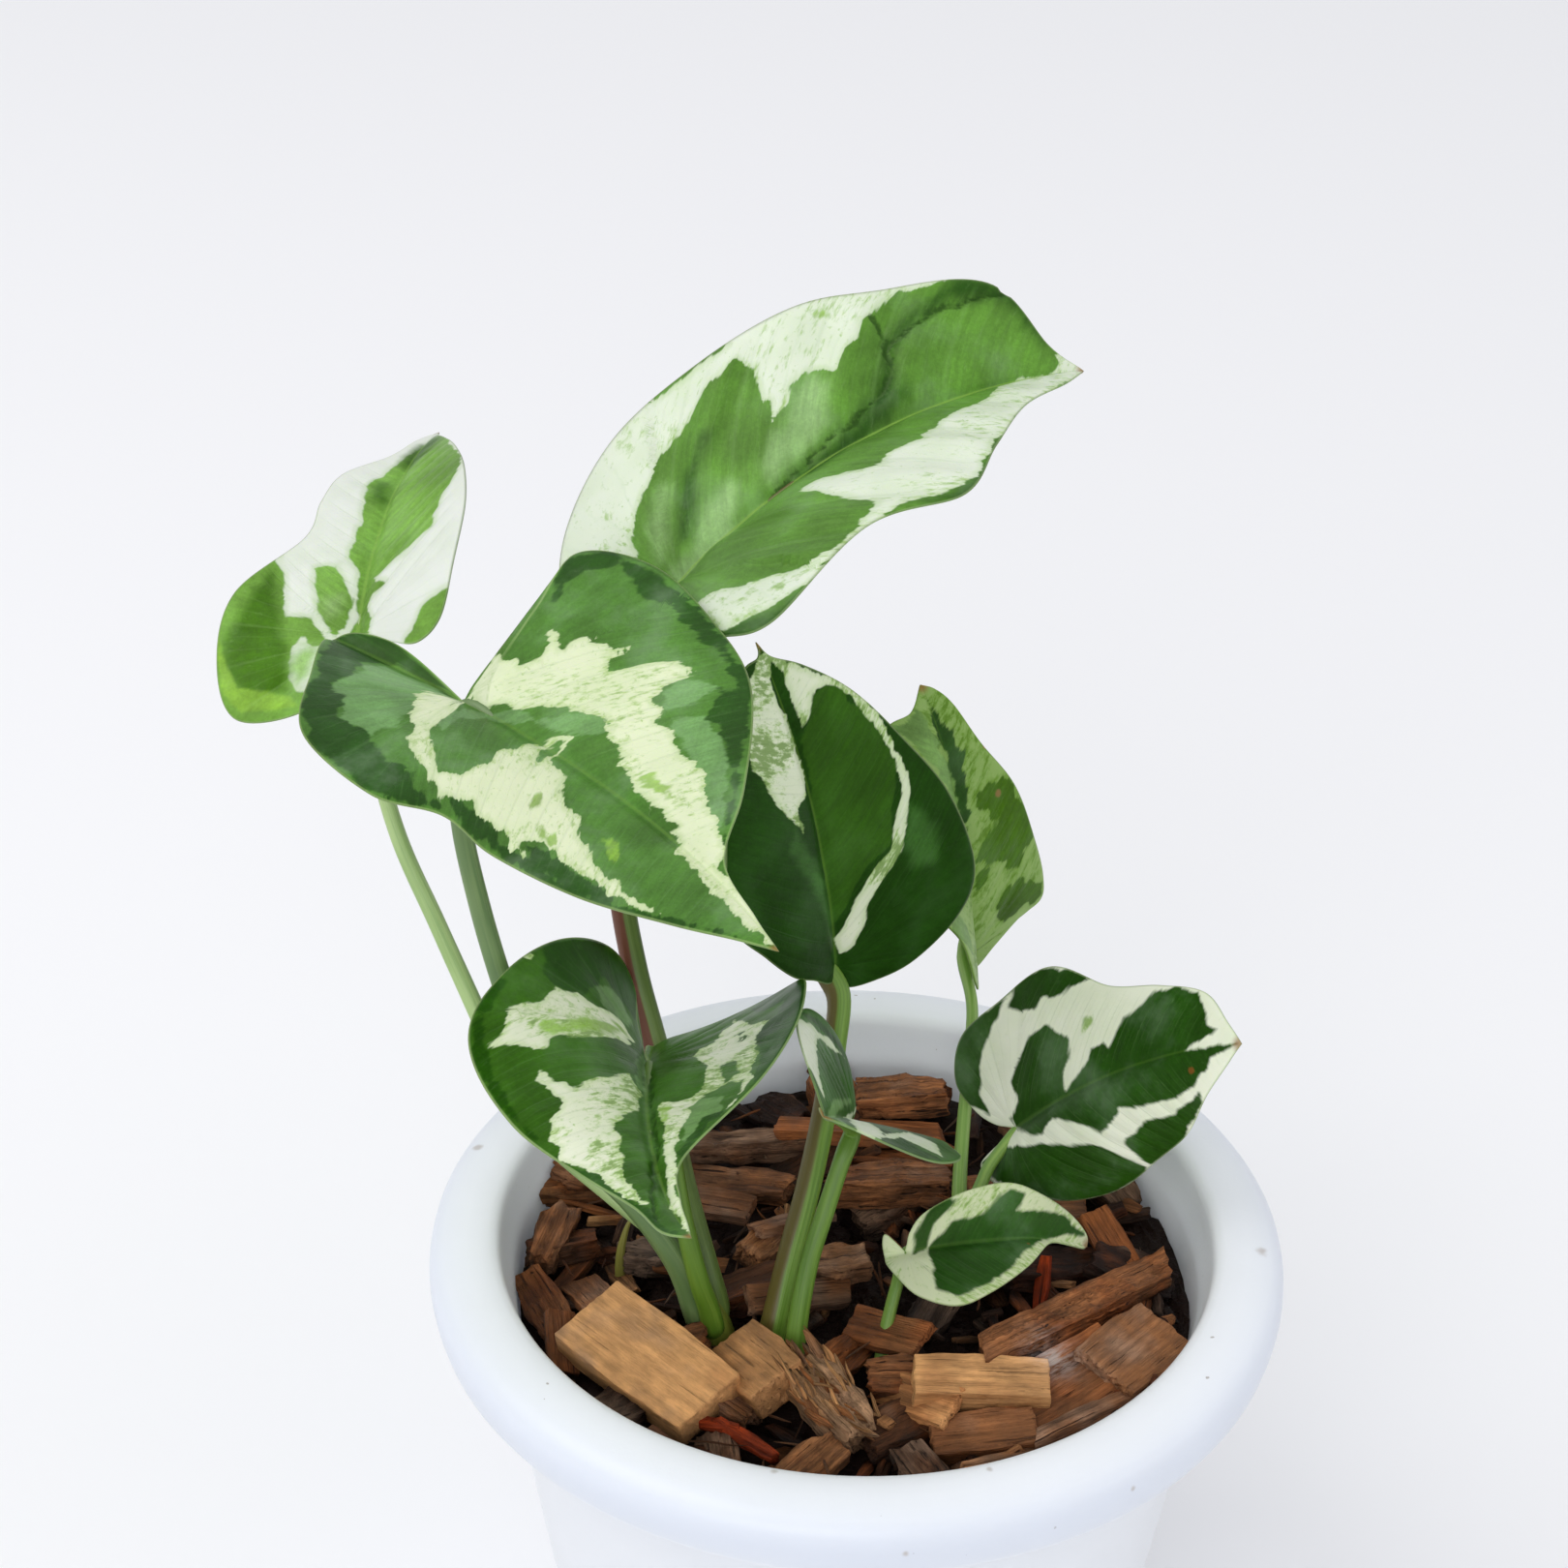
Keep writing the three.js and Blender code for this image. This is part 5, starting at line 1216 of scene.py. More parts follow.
def stalk_path(leaf):
    """Path and radii of a stalk that runs on under the midrib."""
    points = [np.array(point, float) for point in leaf["stalk"]]
    ahead = points[1] - points[0] + (0, 0, 4)
    points.insert(0, points[0] - BURIED_STALK * ahead / np.linalg.norm(ahead))
    shares = np.array([0, 0.12, 0.28, RIB_SHARE])
    rib, normal = bend_blade(leaf, shares * leaf["length"], np.zeros(4))
    lower, upper = leaf["stalk_lower"], leaf["stalk_upper"]
    thinner = RIB_END_RADIUS - upper
    depths = np.where(shares == 0, upper + 0.4, upper + thinner * np.sqrt(shares / RIB_SHARE) + 0.35)
    points += list(rib - depths[:, None] * normal)
    path = even_path(points, STALK_STEPS)
    steps = np.linalg.norm(np.diff(np.array(points), axis=0), axis=1)
    # Where along the path the stalk meets the blade
    joint = 1 - steps[-3:].sum() / steps.sum()
    share = np.linspace(0, 1, len(path))
    left = np.clip((share - joint) / (1 - joint), 0, 1)
    radii = np.where(share <= joint, lower + (upper - lower) * share / joint, upper + thinner * np.sqrt(left))
    swelling = 0.12 * np.exp(-((share - joint + 0.03) / 0.035) ** 2) + leaf["flare"] * np.exp(-share / 0.07)
    closing = np.sqrt(np.clip(share / 0.03, 0.05, 1))
    return path, radii * (1 + swelling) * closing, joint


def build_leaf(leaf, settings, number, materials):
    """One leaf object: the blade and its stalk."""
    vertices, faces, measures, vectors = build_blade(leaf, settings, number)
    path, radii, joint = stalk_path(leaf)

    def channel(angle, share):
        dent = 0.10 * math.exp(-((angle - math.pi) / 0.5) ** 2)
        return 1 - dent + 0.015 * math.sin(5 * angle + 9 * share)

    rod, rod_faces, skin, reach = tube(path, radii, STALK_SIDES, channel)
    count = len(vertices)
    all_faces = faces + [[v + count for v in face] for face in rod_faces]
    which = [0] * len(faces) + [1] * len(rod_faces)
    piece = new_object(leaf["name"] + "_visual", np.vstack([vertices, rod]), all_faces, materials, which)
    for name, values in measures.items():
        set_values(piece, name, np.concatenate([values, np.zeros(len(rod))]))
    for name, values in vectors.items():
        set_vectors(piece, name, np.vstack([values, np.zeros((len(rod), 3))]))
    set_vectors(piece, "skin", np.vstack([np.zeros((count, 3)), skin]))
    height = skin[:, 1] / reach[-1]
    # The red-brown flush lies on the left side of the lower stalk
    centre = np.vstack([np.repeat(path, STALK_SIDES, 0), path[:1], path[-1:]])
    to_left = (centre[:, 0] - rod[:, 0]) / leaf["stalk_upper"]
    flush = leaf["flush"] * np.clip(to_left * 2 + 0.4, -0.5, 1) * np.clip(1.5 - height, 0, 1)
    flush -= 0.25 * np.clip(height - joint + 0.1, 0, 1)
    set_values(piece, "flush", np.concatenate([np.zeros(count), flush]))
    return piece


# Pot

def lathe(profile, segments):
    """Vertices and faces of a turned form whose profile starts and ends on the axis."""
    turn = np.linspace(0, 2 * math.pi, segments, endpoint=False)
    rows = [row for row in profile if row[0] > 0]
    vertices = [(*polar(radius, angle), height) for radius, height in rows for angle in turn]
    vertices += [(0, 0, profile[0][1]), (0, 0, profile[-1][1])]
    return np.array(vertices), round_faces(len(rows), segments)


# Bark

def turned(points, turn, pitch, roll):
    """Points rolled, pitched and turned about the middle of a chip, in degrees."""
    t, p, r = (math.radians(angle) for angle in (turn, pitch, roll))
    spin = Matrix.Rotation(t, 3, "Z") @ Matrix.Rotation(p, 3, "Y") @ Matrix.Rotation(r, 3, "X")
    return np.asarray(points) @ np.array(spin).T


def chip_corners(size, random, outline, unevenness):
    """Corners of the lower and the upper outline of a chip."""
    chip_length, chip_width, thickness = size
    corners = []
    for layer in (-0.5, 0.5):
        for along, over in outline:
            corners.append((0.5 * chip_length * along * (1 - 0.16 * unevenness * next(random)),
                            0.5 * chip_width * over * (1 - 0.28 * unevenness * next(random)),
                            thickness * layer * (1 - 0.25 * unevenness * next(random))))
    return np.array(corners)


def chip_list():
    """Middle, size, turns, tone, corners and sawn share of every chip that the solid has too."""
    random = seeded_random(CHIP_SEED)
    chips = []
    for count, radius, chip_length, chip_width in CHIP_RINGS:
        for place in range(count):
            angle = 2 * math.pi * (place + 0.7 * next(random)) / count
            reach = radius + 7 * (next(random) - 0.5)
            height = MIX_TOP + 1 + 2 * next(random)
            size = (chip_length * (0.7 + 0.6 * next(random)), chip_width * (0.7 + 0.6 * next(random)),
                    3.5 + 2 * next(random))
            turns = (360 * next(random), 34 * (next(random) - 0.5), 40 * (next(random) - 0.5))
            tone = 0.04 + 0.56 * ((place * 7) % 5) / 4
            chips.append([(*polar(reach, angle), height), size, turns, tone])
    for middle, size, turn, pitch, roll, tone in LARGE_CHIPS:
        chips.append([middle, size, (turn, pitch, roll), tone])
    first_large = len(chips) - len(LARGE_CHIPS)
    for place, chip in enumerate(chips):
        sawn = SAWN_CHIPS.get(place - first_large, 0.0)
        outline, unevenness = (BOARD_OUTLINE, 0.3) if sawn else (CHIP_OUTLINE, 1.0)
        chip += [chip_corners(chip[1], random, outline, unevenness), sawn]
    return chips


def mound_height(x, y):
    """Height of the loose mix under the chips."""
    def unevenness(scale, layer):
        return noise.noise(Vector((x * scale, y * scale, layer)))

    lump = 1.4 * math.sin(x * 0.19 + 1) * math.cos(y * 0.17) + 1.1 * unevenness(0.16, 3)
    crumb = 1.6 * unevenness(0.45, 8) + 0.9 * unevenness(1.1, 1)
    return MIX_TOP - 2.0 + lump + crumb


class ChipMesh:
    """Collects chips with their grain, tone and number."""

    def __init__(self):
        self.vertices, self.faces, self.grain = [], [], []
        self.measures = {"tone": [], "chip": [], "sawn": []}
        self.count = 0

    def add(self, vertices, faces, grain, tone, number, sawn=0.0):
        self.faces += [[v + self.count for v in face] for face in faces]
        self.vertices.append(vertices)
        self.grain.append(grain)
        for name, value in (("tone", tone), ("chip", float(number)), ("sawn", sawn)):
            self.measures[name].append(np.full(len(vertices), value))
        self.count += len(vertices)

    def object(self, name, material):
        vertices = np.vstack(self.vertices)
        piece = new_object(name, vertices, self.faces, [material])
        set_vectors(piece, "grain", np.vstack(self.grain))
        for measure, parts in self.measures.items():
            set_values(piece, measure, np.concatenate(parts))
        set_values(piece, "ruddy", np.isin(np.concatenate(self.measures["chip"]), RUDDY_CHIPS))
        set_values(piece, "height", vertices[:, 2])
        away = np.linalg.norm(vertices - BLOOM_PLACE, axis=1)
        set_values(piece, "bloom", np.exp(-(away / BLOOM_REACH) ** 2))
        return piece


def add_chip(chips, corners, middle, turns, tone, number, cuts, rough, sawn=0.0):
    """One chip: a block with worn edges and split, fibrous faces."""
    mesh = bmesh.new()
    half = len(corners) // 2
    made = [mesh.verts.new(corner) for corner in corners]
    mesh.faces.new(made[:half][::-1])
    mesh.faces.new(made[half:])
    for place in range(half):
        after = (place + 1) % half
        mesh.faces.new([made[place], made[after], made[half + after], made[half + place]])
    longest = max(1.4, np.ptp(corners, axis=0)[0] / 24)
    bmesh.ops.bevel(mesh, geom=list(mesh.edges), offset=WORN_EDGE, segments=1, affect="EDGES")
    bmesh.ops.triangulate(mesh, faces=list(mesh.faces))
    for _ in range(cuts):
        long_edges = [edge for edge in mesh.edges if edge.calc_length() > longest]
        bmesh.ops.subdivide_edges(mesh, edges=long_edges, cuts=1)
        bmesh.ops.triangulate(mesh, faces=[face for face in mesh.faces if len(face.verts) > 3])
    mesh.normal_update()
    moves = []
    for vertex in mesh.verts:
        x, y, z = vertex.co
        fibre = noise.noise(Vector((x * 0.07, y * 1.5, z * 1.5 + number * 3.7)))
        split = noise.noise(Vector((x * 0.05, y * 0.5, z * 0.5 + number * 9.1)))
        lump = noise.noise(Vector((x * 0.3, y * 0.3, z * 0.3 + number * 5.3)))
        end = abs(vertex.normal.x)
        depth = rough * (0.5 * fibre + 1.3 * min(0, split + 0.10) + 0.55 * lump)
        jag = end * rough * 1.3 * noise.noise(Vector((0, y * 1.5, z * 1.5 + number)))
        moves.append((vertex, vertex.normal * depth + Vector((jag * (1 if x > 0 else -1), 0, 0))))
    for vertex, move in moves:
        vertex.co += move
    mesh.verts.index_update()
    points = np.array([vertex.co[:] for vertex in mesh.verts])
    faces = [[vertex.index for vertex in face.verts] for face in mesh.faces]
    mesh.free()
    placed = turned(points, *turns) + np.array(middle)
    chips.add(placed, faces, points, tone, number, sawn)


def add_splinter(chips, start, end, radius, tone, number, random):
    """A thin fibre with a few bends and a pointed end."""
    start, end = np.array(start, float), np.array(end, float)
    span = np.linalg.norm(end - start)
    middle = [start + (end - start) * share + span * 0.06 * np.array([next(random) - 0.5 for _ in range(3)])
              for share in (0.35, 0.7)]
    radii = radius * np.array(SPLINTER_FORM)
    path = even_path([start, *middle, end], len(radii))
    points, faces, skin, _ = tube(path, radii, SPLINTER_SIDES)
    grain = np.stack([skin[:, 1], skin[:, 0], skin[:, 2]], -1)
    chips.add(points, faces, grain, tone, number)


# Settings that the panel shows

class PotSettings(bpy.types.PropertyGroup):
    plastic: FloatVectorProperty(
        name="Plastic", description="Colour of the moulded pot", subtype="COLOR", size=4, min=0, max=1,
        default=colour(238, 241, 246))
    shade: FloatVectorProperty(
        name="Scuffs", description="Colour of the dust and scuffs on the pot", subtype="COLOR", size=4,
        min=0, max=1, default=colour(208, 206, 198))
    segments: IntProperty(
        name="Segments", description="Steps around the turned pot", default=160, min=32, max=256)


class BarkSettings(bpy.types.PropertyGroup):
    tan: FloatVectorProperty(
        name="Fresh Bark", description="Colour of the light chips", subtype="COLOR", size=4, min=0, max=1,
        default=colour(205, 152, 99))
    brown: FloatVectorProperty(
        name="Aged Bark", description="Colour of most chips", subtype="COLOR", size=4, min=0, max=1,
        default=colour(140, 90, 55))
    dark: FloatVectorProperty(
        name="Damp Bark", description="Colour of the dark chips and the loose mix", subtype="COLOR", size=4,
        min=0, max=1, default=colour(50, 27, 17))
    crumbs: IntProperty(
        name="Small Chips", description="Number of small chips between the large ones", default=300,
        min=0, max=600)


class LeafSettings(bpy.types.PropertyGroup):
    cream: FloatVectorProperty(
        name="Cream", description="Colour of the light markings", subtype="COLOR", size=4, min=0, max=1,
        default=colour(224, 231, 206))
    pale: FloatVectorProperty(
        name="Pale Green", description="Colour of the grey-green patches", subtype="COLOR", size=4,
        min=0, max=1, default=colour(112, 150, 88))
    green: FloatVectorProperty(
        name="Green", description="Colour of most of the blade", subtype="COLOR", size=4, min=0, max=1,
        default=colour(62, 112, 32))
    deep: FloatVectorProperty(
        name="Deep Green", description="Colour of the dark patches and margins", subtype="COLOR", size=4,
        min=0, max=1, default=colour(28, 68, 16))
    lime: FloatVectorProperty(
        name="Lime", description="Colour of the flecks and thin borders", subtype="COLOR", size=4, min=0, max=1,
        default=colour(132, 174, 58))
    blade_steps: IntProperty(
        name="Blade Steps", description="Steps along each half of a blade", default=180, min=60, max=240)
    vein_pairs: IntProperty(
        name="Vein Pairs", description="Lateral veins on each side of the midrib", default=13, min=4, max=30)
    vein_depth: FloatProperty(
        name="Vein Depth", description="Depth of a lateral vein, in millimetres", default=0.16, min=0, max=0.5)
    quilting: FloatProperty(
        name="Quilting", description="Height of the swelling between veins, in millimetres", default=0.7,
        min=0, max=2)
    rib_depth: FloatProperty(
        name="Midrib Depth", description="Depth of the groove over the midrib, in millimetres", default=0.55,
        min=0, max=2)


class StageSettings(bpy.types.PropertyGroup):
    floor: FloatVectorProperty(
        name="Floor", description="Colour of the floor", subtype="COLOR", size=4, min=0, max=1,
        default=colour(246, 246, 247))
    key_power: FloatProperty(
        name="Key Light", description="Power of the large light overhead", default=13.0, min=0, unit="POWER")
    fill_power: FloatProperty(
        name="Fill Light", description="Power of the side lights", default=14.0, min=0, unit="POWER")
    sky_strength: FloatProperty(
        name="Room Light", description="Strength of the light from all around", default=0.72, min=0, max=5)


# Materials

def blade_material(leaf, settings):
    """Waxy blade skin with the markings of one leaf, among them painted sheen, highlights and shade."""
    material, tree, shader = new_material(leaf["name"] + " blade", {
        "Specular IOR Level": leaf["shine"], "Specular Tint": (0.80, 1.0, 0.52, 1.0), "IOR": 1.45,
        "Subsurface Weight": 0.12, "Subsurface Radius": (0.0012, 0.0016, 0.0005), "Subsurface Scale": 1.0})
    tones = {key: getattr(settings, key)[:] for key in ("green", "cream", "deep", "pale", "lime")}
    tones.update({key: colour(*value) for key, value in leaf["tones"].items()})
    ground = MARKINGS[leaf["name"]]["ground"]
    marked = tree.group("Variegation And Painted Light", {
        **{key.title(): tone for key, tone in tones.items()}, "Ground": tones[ground],
        "Seed": float(len(leaf["name"]) + leaf["base"][0] % 7), "Jag": leaf["jag"], "Speckle": leaf["speckle"],
        "Cream Ground": float(ground == "cream"), "Softness": leaf["softness"], "Rib": leaf["rib"],
        "Painted Sheen": leaf["painted_sheen"]})
    under = tree.value("under")
    back = tree.mix(0.45, marked["Color"], tint("underside"))
    skin = tree.mix(under, marked["Color"], back)
    flat = tree.vector_value("flat")
    for x, y, radius, tone in leaf["spots"]:
        away = tree.distance(flat, (x, y, 0))
        ragged = tree.noise(flat, 0.9, 2.0, 0.5, x)
        away = tree.add(away, tree.times(ragged, radius))
        skin = tree.mix(tree.ramp(away, radius, radius * 1.7, 0.85, 0.0), skin, colour(*tone))
    tree.feed(skin, shader["Base Color"])
    pores = tree.noise(flat, 2.6, 3.0, 0.6, 1.0)
    cloud = tree.noise(flat, 0.12, 2.0, 0.5, 2.0)
    tree.feed(tree.ramp(cloud, 0.3, 0.7, 0.33, 0.47), shader["Roughness"])
    height = tree.add(tree.times(pores, 0.06), tree.times(marked["Vein"], -0.07))
    height = tree.add(height, tree.times(tree.noise(flat, 0.7, 2.0, 0.5, 4.0), 0.10))
    tree.bump(height, 0.55, 1.0, shader)
    return material


def stalk_material(name, green, light, flush, flush_share, seed):
    """Smooth stalk skin with fine streaks."""
    material, tree, shader = new_material(name, {
        "Subsurface Weight": 0.15, "Subsurface Radius": (0.001, 0.0014, 0.0005), "Subsurface Scale": 1.0})
    skin = tree.group("Stalk Skin", {"Green": colour(*green), "Light": colour(*light), "Flush": colour(*flush),
                                     "Flush Share": flush_share, "Seed": seed})
    tree.feed(skin["Color"], shader["Base Color"])
    tree.feed(tree.ramp(skin["Height"], 0.3, 0.7, 0.34, 0.50), shader["Roughness"])
    tree.bump(skin["Height"], 0.35, 0.3, shader)
    return material


def bark_material(settings):
    """Dry and damp bark, with painted shade low down and in the gaps between the chips."""
    material, tree, shader = new_material("bark", {"Specular IOR Level": 0.2})
    bark = tree.group("Bark Grain And Painted Shade", {
        "Dark": settings.dark[:], "Brown": settings.brown[:], "Tan": settings.tan[:],
        "Crack And Gap Shadow": tint("bark crack and gap shadow")})
    tree.feed(bark["Color"], shader["Base Color"])
    tree.feed(bark["Dampness"], shader["Roughness"])
    tree.bump(bark["Height"], 1.0, 1.2, shader)
    return material


def plastic_material(settings):
    """Semi-gloss white plastic with faint moulding rings, scuffs, a little dirt and painted shade on the
    outside of the rim.
    """
    material, tree, shader = new_material("pot plastic", {
        "Specular IOR Level": 0.45, "Subsurface Weight": 0.75, "Subsurface Radius": (0.006, 0.006, 0.006),
        "Subsurface Scale": 1.0})
    place = tree.vector_value("place")
    cloud = tree.noise(place, 0.045, 3.0, 0.55, 1.0)
    base = tree.mix(tree.ramp(cloud, 0.35, 0.7, 0.0, 0.05), settings.plastic[:], settings.shade[:])
    scuff = tree.streaks(place, (0.5, 0.5, 2.4), 4.0, 0.65, 3.0)
    base = tree.mix(tree.ramp(scuff, 0.66, 0.84, 0.0, 0.07), base, settings.shade[:])
    speck = tree.noise(place, 0.75, 1.0, 0.3, 6.0)
    base = tree.mix(tree.ramp(speck, 0.80, 0.82, 0.0, 0.6), base, tint("grit"))
    # Painted shade: a bluish-grey tint on the outside of the rim and faintly on the wall below it
    base = tree.mix(tree.times(tree.value("lee"), 0.75), base, tint("rim shade"))
    damp = tree.times(tree.value("soiled"), tree.ramp(cloud, 0.3, 0.65, 0.5, 1.0))
    base = tree.mix(damp, base, tint("soil stain"))
    for x, y, z, radius in POT_SPECKS:
        away = tree.distance(place, (x, y, z))
        ragged = tree.add(away, tree.times(tree.less(speck, 0.5), radius * 1.5))
        base = tree.mix(tree.ramp(ragged, radius * 0.2, radius * 1.5, 0.5, 0.0), base, tint("speck"))
    tree.feed(base, shader["Base Color"])
    tree.feed(tree.ramp(scuff, 0.3, 0.75, 0.30, 0.46), shader["Roughness"])
    tree.bump(tree.noise(place, 1.4, 3.0, 0.6, 2.0), 0.12, 0.25, shader)
    return material


# Operators

class POTHOS_OT_pot(bpy.types.Operator):
    """Turn the white pot with its rolled rim and drain holes."""
    bl_idname = "pothos.pot"
    bl_label = "Pot"

    def execute(self, context):
        settings = context.scene.pothos_pot
        vertices, faces = lathe(POT_PROFILE, settings.segments)
        piece = new_object("pot_visual", vertices, faces, [plastic_material(settings)])
        mesh = bmesh.new()
        for number in range(DRAIN_HOLES):
            x, y = polar(DRAIN_RING * MM, 2 * math.pi * number / DRAIN_HOLES)
            move = Matrix.Translation((x, y, 0.001))
            bmesh.ops.create_cone(mesh, cap_ends=True, segments=32, radius1=DRAIN_RADIUS * MM,
                                  radius2=DRAIN_RADIUS * MM, depth=0.02, matrix=move)
        cutter_mesh = bpy.data.meshes.new("drain holes")
        mesh.to_mesh(cutter_mesh)
        mesh.free()
        cutter = bpy.data.objects.new("drain holes", cutter_mesh)
        context.scene.collection.objects.link(cutter)
        drill = piece.modifiers.new("Drain Holes", "BOOLEAN")
        drill.object = cutter
        drill.operation = "DIFFERENCE"
        drill.solver = "EXACT"
        drilled = bpy.data.meshes.new_from_object(piece.evaluated_get(context.evaluated_depsgraph_get()))
        piece.modifiers.clear()
        piece.data = drilled
        bpy.data.objects.remove(cutter, do_unlink=True)
        if len(drilled.vertices) < len(vertices):
            raise RuntimeError("The drain holes could not be cut")
        place = np.array([vertex.co[:] for vertex in drilled.vertices]) / MM
        set_vectors(piece, "place", place)
        # Soil stains inside above the mix, and shade under the rim outside
        reach, height = np.hypot(place[:, 0], place[:, 1]), place[:, 2]
        inner = (reach < WALL_FOOT + INNER_FLARE * (height - 3.8)) & (height < 106)
        set_values(piece, "soiled", np.where(inner, np.clip((103 - height) / 6, 0, 1) * 0.45, 0))
        lee = np.interp(height, *RIM_SHADE)
        set_values(piece, "lee", np.where(reach > 66, lee, 0.2 * (reach > WALL_FOOT + OUTER_FLARE * height)))
        drilled.shade_smooth()
        drilled.set_sharp_from_angle(angle=math.radians(50))
        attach(piece, "root")
        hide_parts("pot")
        return {"FINISHED"}


class POTHOS_OT_bark(bpy.types.Operator):
    """Fill the pot with bark chips, splinters and loose damp mix."""
    bl_idname = "pothos.bark"
    bl_label = "Bark Mix"

    def execute(self, context):
        settings = context.scene.pothos_bark
        chips = ChipMesh()
        self.add_mound(chips)
        solid_chips = chip_list()
        first_large = len(solid_chips) - len(LARGE_CHIPS)
        for number, (middle, size, turns, tone, corners, sawn) in enumerate(solid_chips):
            cuts = 4 if number >= first_large else 3
            rough = 0.35 if size[1] < 5 else 1.1 - 0.9 * sawn
            add_chip(chips, corners, middle, turns, tone, number + 1, cuts, rough, sawn)
        random = seeded_random(PLATE_SEED)
        for number, (middle, size, turn, pitch, roll, tone) in enumerate(PLATES):
            corners = chip_corners(size, random, BOARD_OUTLINE, 1.0)
            add_chip(chips, corners, middle, (turn, pitch, roll), tone, FIRST_PLATE + number, 3, 0.4, 0.3)
        self.add_crumbs(chips, settings.crumbs)
        self.add_fibres(chips)
        piece = chips.object("bark_mix_visual", bark_material(settings))
        piece.data.set_sharp_from_angle(angle=math.radians(42))
        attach(piece, "root")
        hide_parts("bark_mix")
        return {"FINISHED"}

    def add_mound(self, chips):
        """The loose mix: a lumpy top, and a plain side and bottom that the pot hides."""
        rows, around = MIX_ROWS, MIX_STEPS
        vertices = [(0, 0, mound_height(0, 0))]
        for row in range(1, rows + 1):
            for place in range(around):
                x, y = polar(MIX_RADIUS * row / rows, 2 * math.pi * (place + 0.5 * (row % 2)) / around)
                vertices.append((x, y, mound_height(x, y)))
        for height, reach in MIX_SIDE:
            for place in range(around):
                angle = 2 * math.pi * (place + 0.5 * (rows % 2)) / around
                vertices.append((*polar(reach, angle), height))
        vertices.append((0, 0, MIX_SIDE[-1][0]))
        faces = []
        for place in range(around):
            after = (place + 1) % around
            faces.append([0, 1 + place, 1 + after])
            for row in range(rows + 1):
                a, b = 1 + row * around, 1 + (row + 1) * around
                faces.append([a + place, b + place, b + after, a + after])
            last = 1 + (rows + 1) * around
            faces.append([last + place, len(vertices) - 1, last + after])
        vertices = np.array(vertices)
        # Its tone of -0.4 paints the mix near-black: partly dark damp mix, partly painted shadow in the gaps
        chips.add(vertices, faces, vertices * (0.9, 0.5, 0.9), -0.4, 0)

    def add_crumbs(self, chips, count):
        """Small chips strewn over the mix."""
        random = seeded_random(CRUMB_SEED)
        for number in range(count):
            angle, reach = 2 * math.pi * next(random), 59 * math.sqrt(next(random))
            crumb_length = 4 + 13 * next(random) ** 2.2
            crumb_width = min(5, crumb_length * (0.18 + 0.32 * next(random)))
            size = (crumb_length, crumb_width, 0.8 + 1.5 * next(random))
            corners = chip_corners(size, random, CHIP_OUTLINE, 1.4)
            reach = min(reach, 60.5 - crumb_length / 2)
            x, y = polar(reach, angle)
            middle = (x, y, mound_height(x, y) + 1.0 + 2.6 * next(random))
            turns = (360 * next(random), 56 * (next(random) - 0.5), 80 * (next(random) - 0.5))
            tone = 0.02 + 0.85 * next(random) ** 2.8
            add_chip(chips, corners, middle, turns, tone, FIRST_CRUMB + number, 1, 0.45)

    def add_fibres(self, chips):
        """Splinters that stand off one chip, and fibres strewn over the mix."""
        random = seeded_random(FIBRE_SEED)
        middle, size, turn, pitch, roll, _ = LARGE_CHIPS[SPLINTERED_CHIP]
        for number in range(SPLINTERS):
            along = (next(random) - 0.5) * 0.8
            start = (size[0] * along, size[1] * (next(random) - 0.5) * 0.9,
                     size[2] * (next(random) - 0.2) * 0.5)
            reach = 3 + 5.5 * next(random)
            way = -1 if next(random) > 0.35 else 1
            lift = (0.2 + 0.75 * next(random)) * reach
            end = (start[0] + way * reach, start[1] + 3 * (next(random) - 0.5), start[2] + lift * 0.6)
            ends = turned([start, end], turn, pitch, roll) + np.array(middle)
            add_splinter(chips, ends[0], ends[1], 0.35 + 0.75 * next(random) ** 2, 0.55 + 0.45 * next(random),
                         FIRST_SPLINTER + number, random)
        for number in range(FIBRES):
            angle, reach = 2 * math.pi * next(random), 56 * math.sqrt(next(random))
            turn = 2 * math.pi * next(random)
            span = 3 + 9 * next(random)
            x, y = polar(reach, angle)
            start = (x, y, MIX_TOP + 1 + 4 * next(random))
            dx, dy = polar(span, turn)
            if math.hypot(x + dx, y + dy) > 59:
                dx, dy = -dx, -dy
            end = (x + dx, y + dy, MIX_TOP + 1 + 4 * next(random))
            add_splinter(chips, start, end, 0.15 + 0.22 * next(random), 0.15 + 0.5 * next(random),
                         FIRST_FIBRE + number, random)


class POTHOS_OT_leaves(bpy.types.Operator):
    """Grow each leaf: a bent, veined and variegated blade on its stalk."""
    bl_idname = "pothos.leaves"
    bl_label = "Leaves"

    def execute(self, context):
        settings = context.scene.pothos_leaf
        for number, leaf in enumerate(LEAVES):
            leaf = {**COMMON_FINISH, **leaf, **LEAF_FINISH[leaf["name"]]}
            blade = blade_material(leaf, settings)
            stalk = stalk_material(leaf["name"] + " stalk", *leaf["stalk_tones"], float(number))
            piece = build_leaf(leaf, settings, number, [blade, stalk])
            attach(piece, "root")
            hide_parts(leaf["name"])
        return {"FINISHED"}


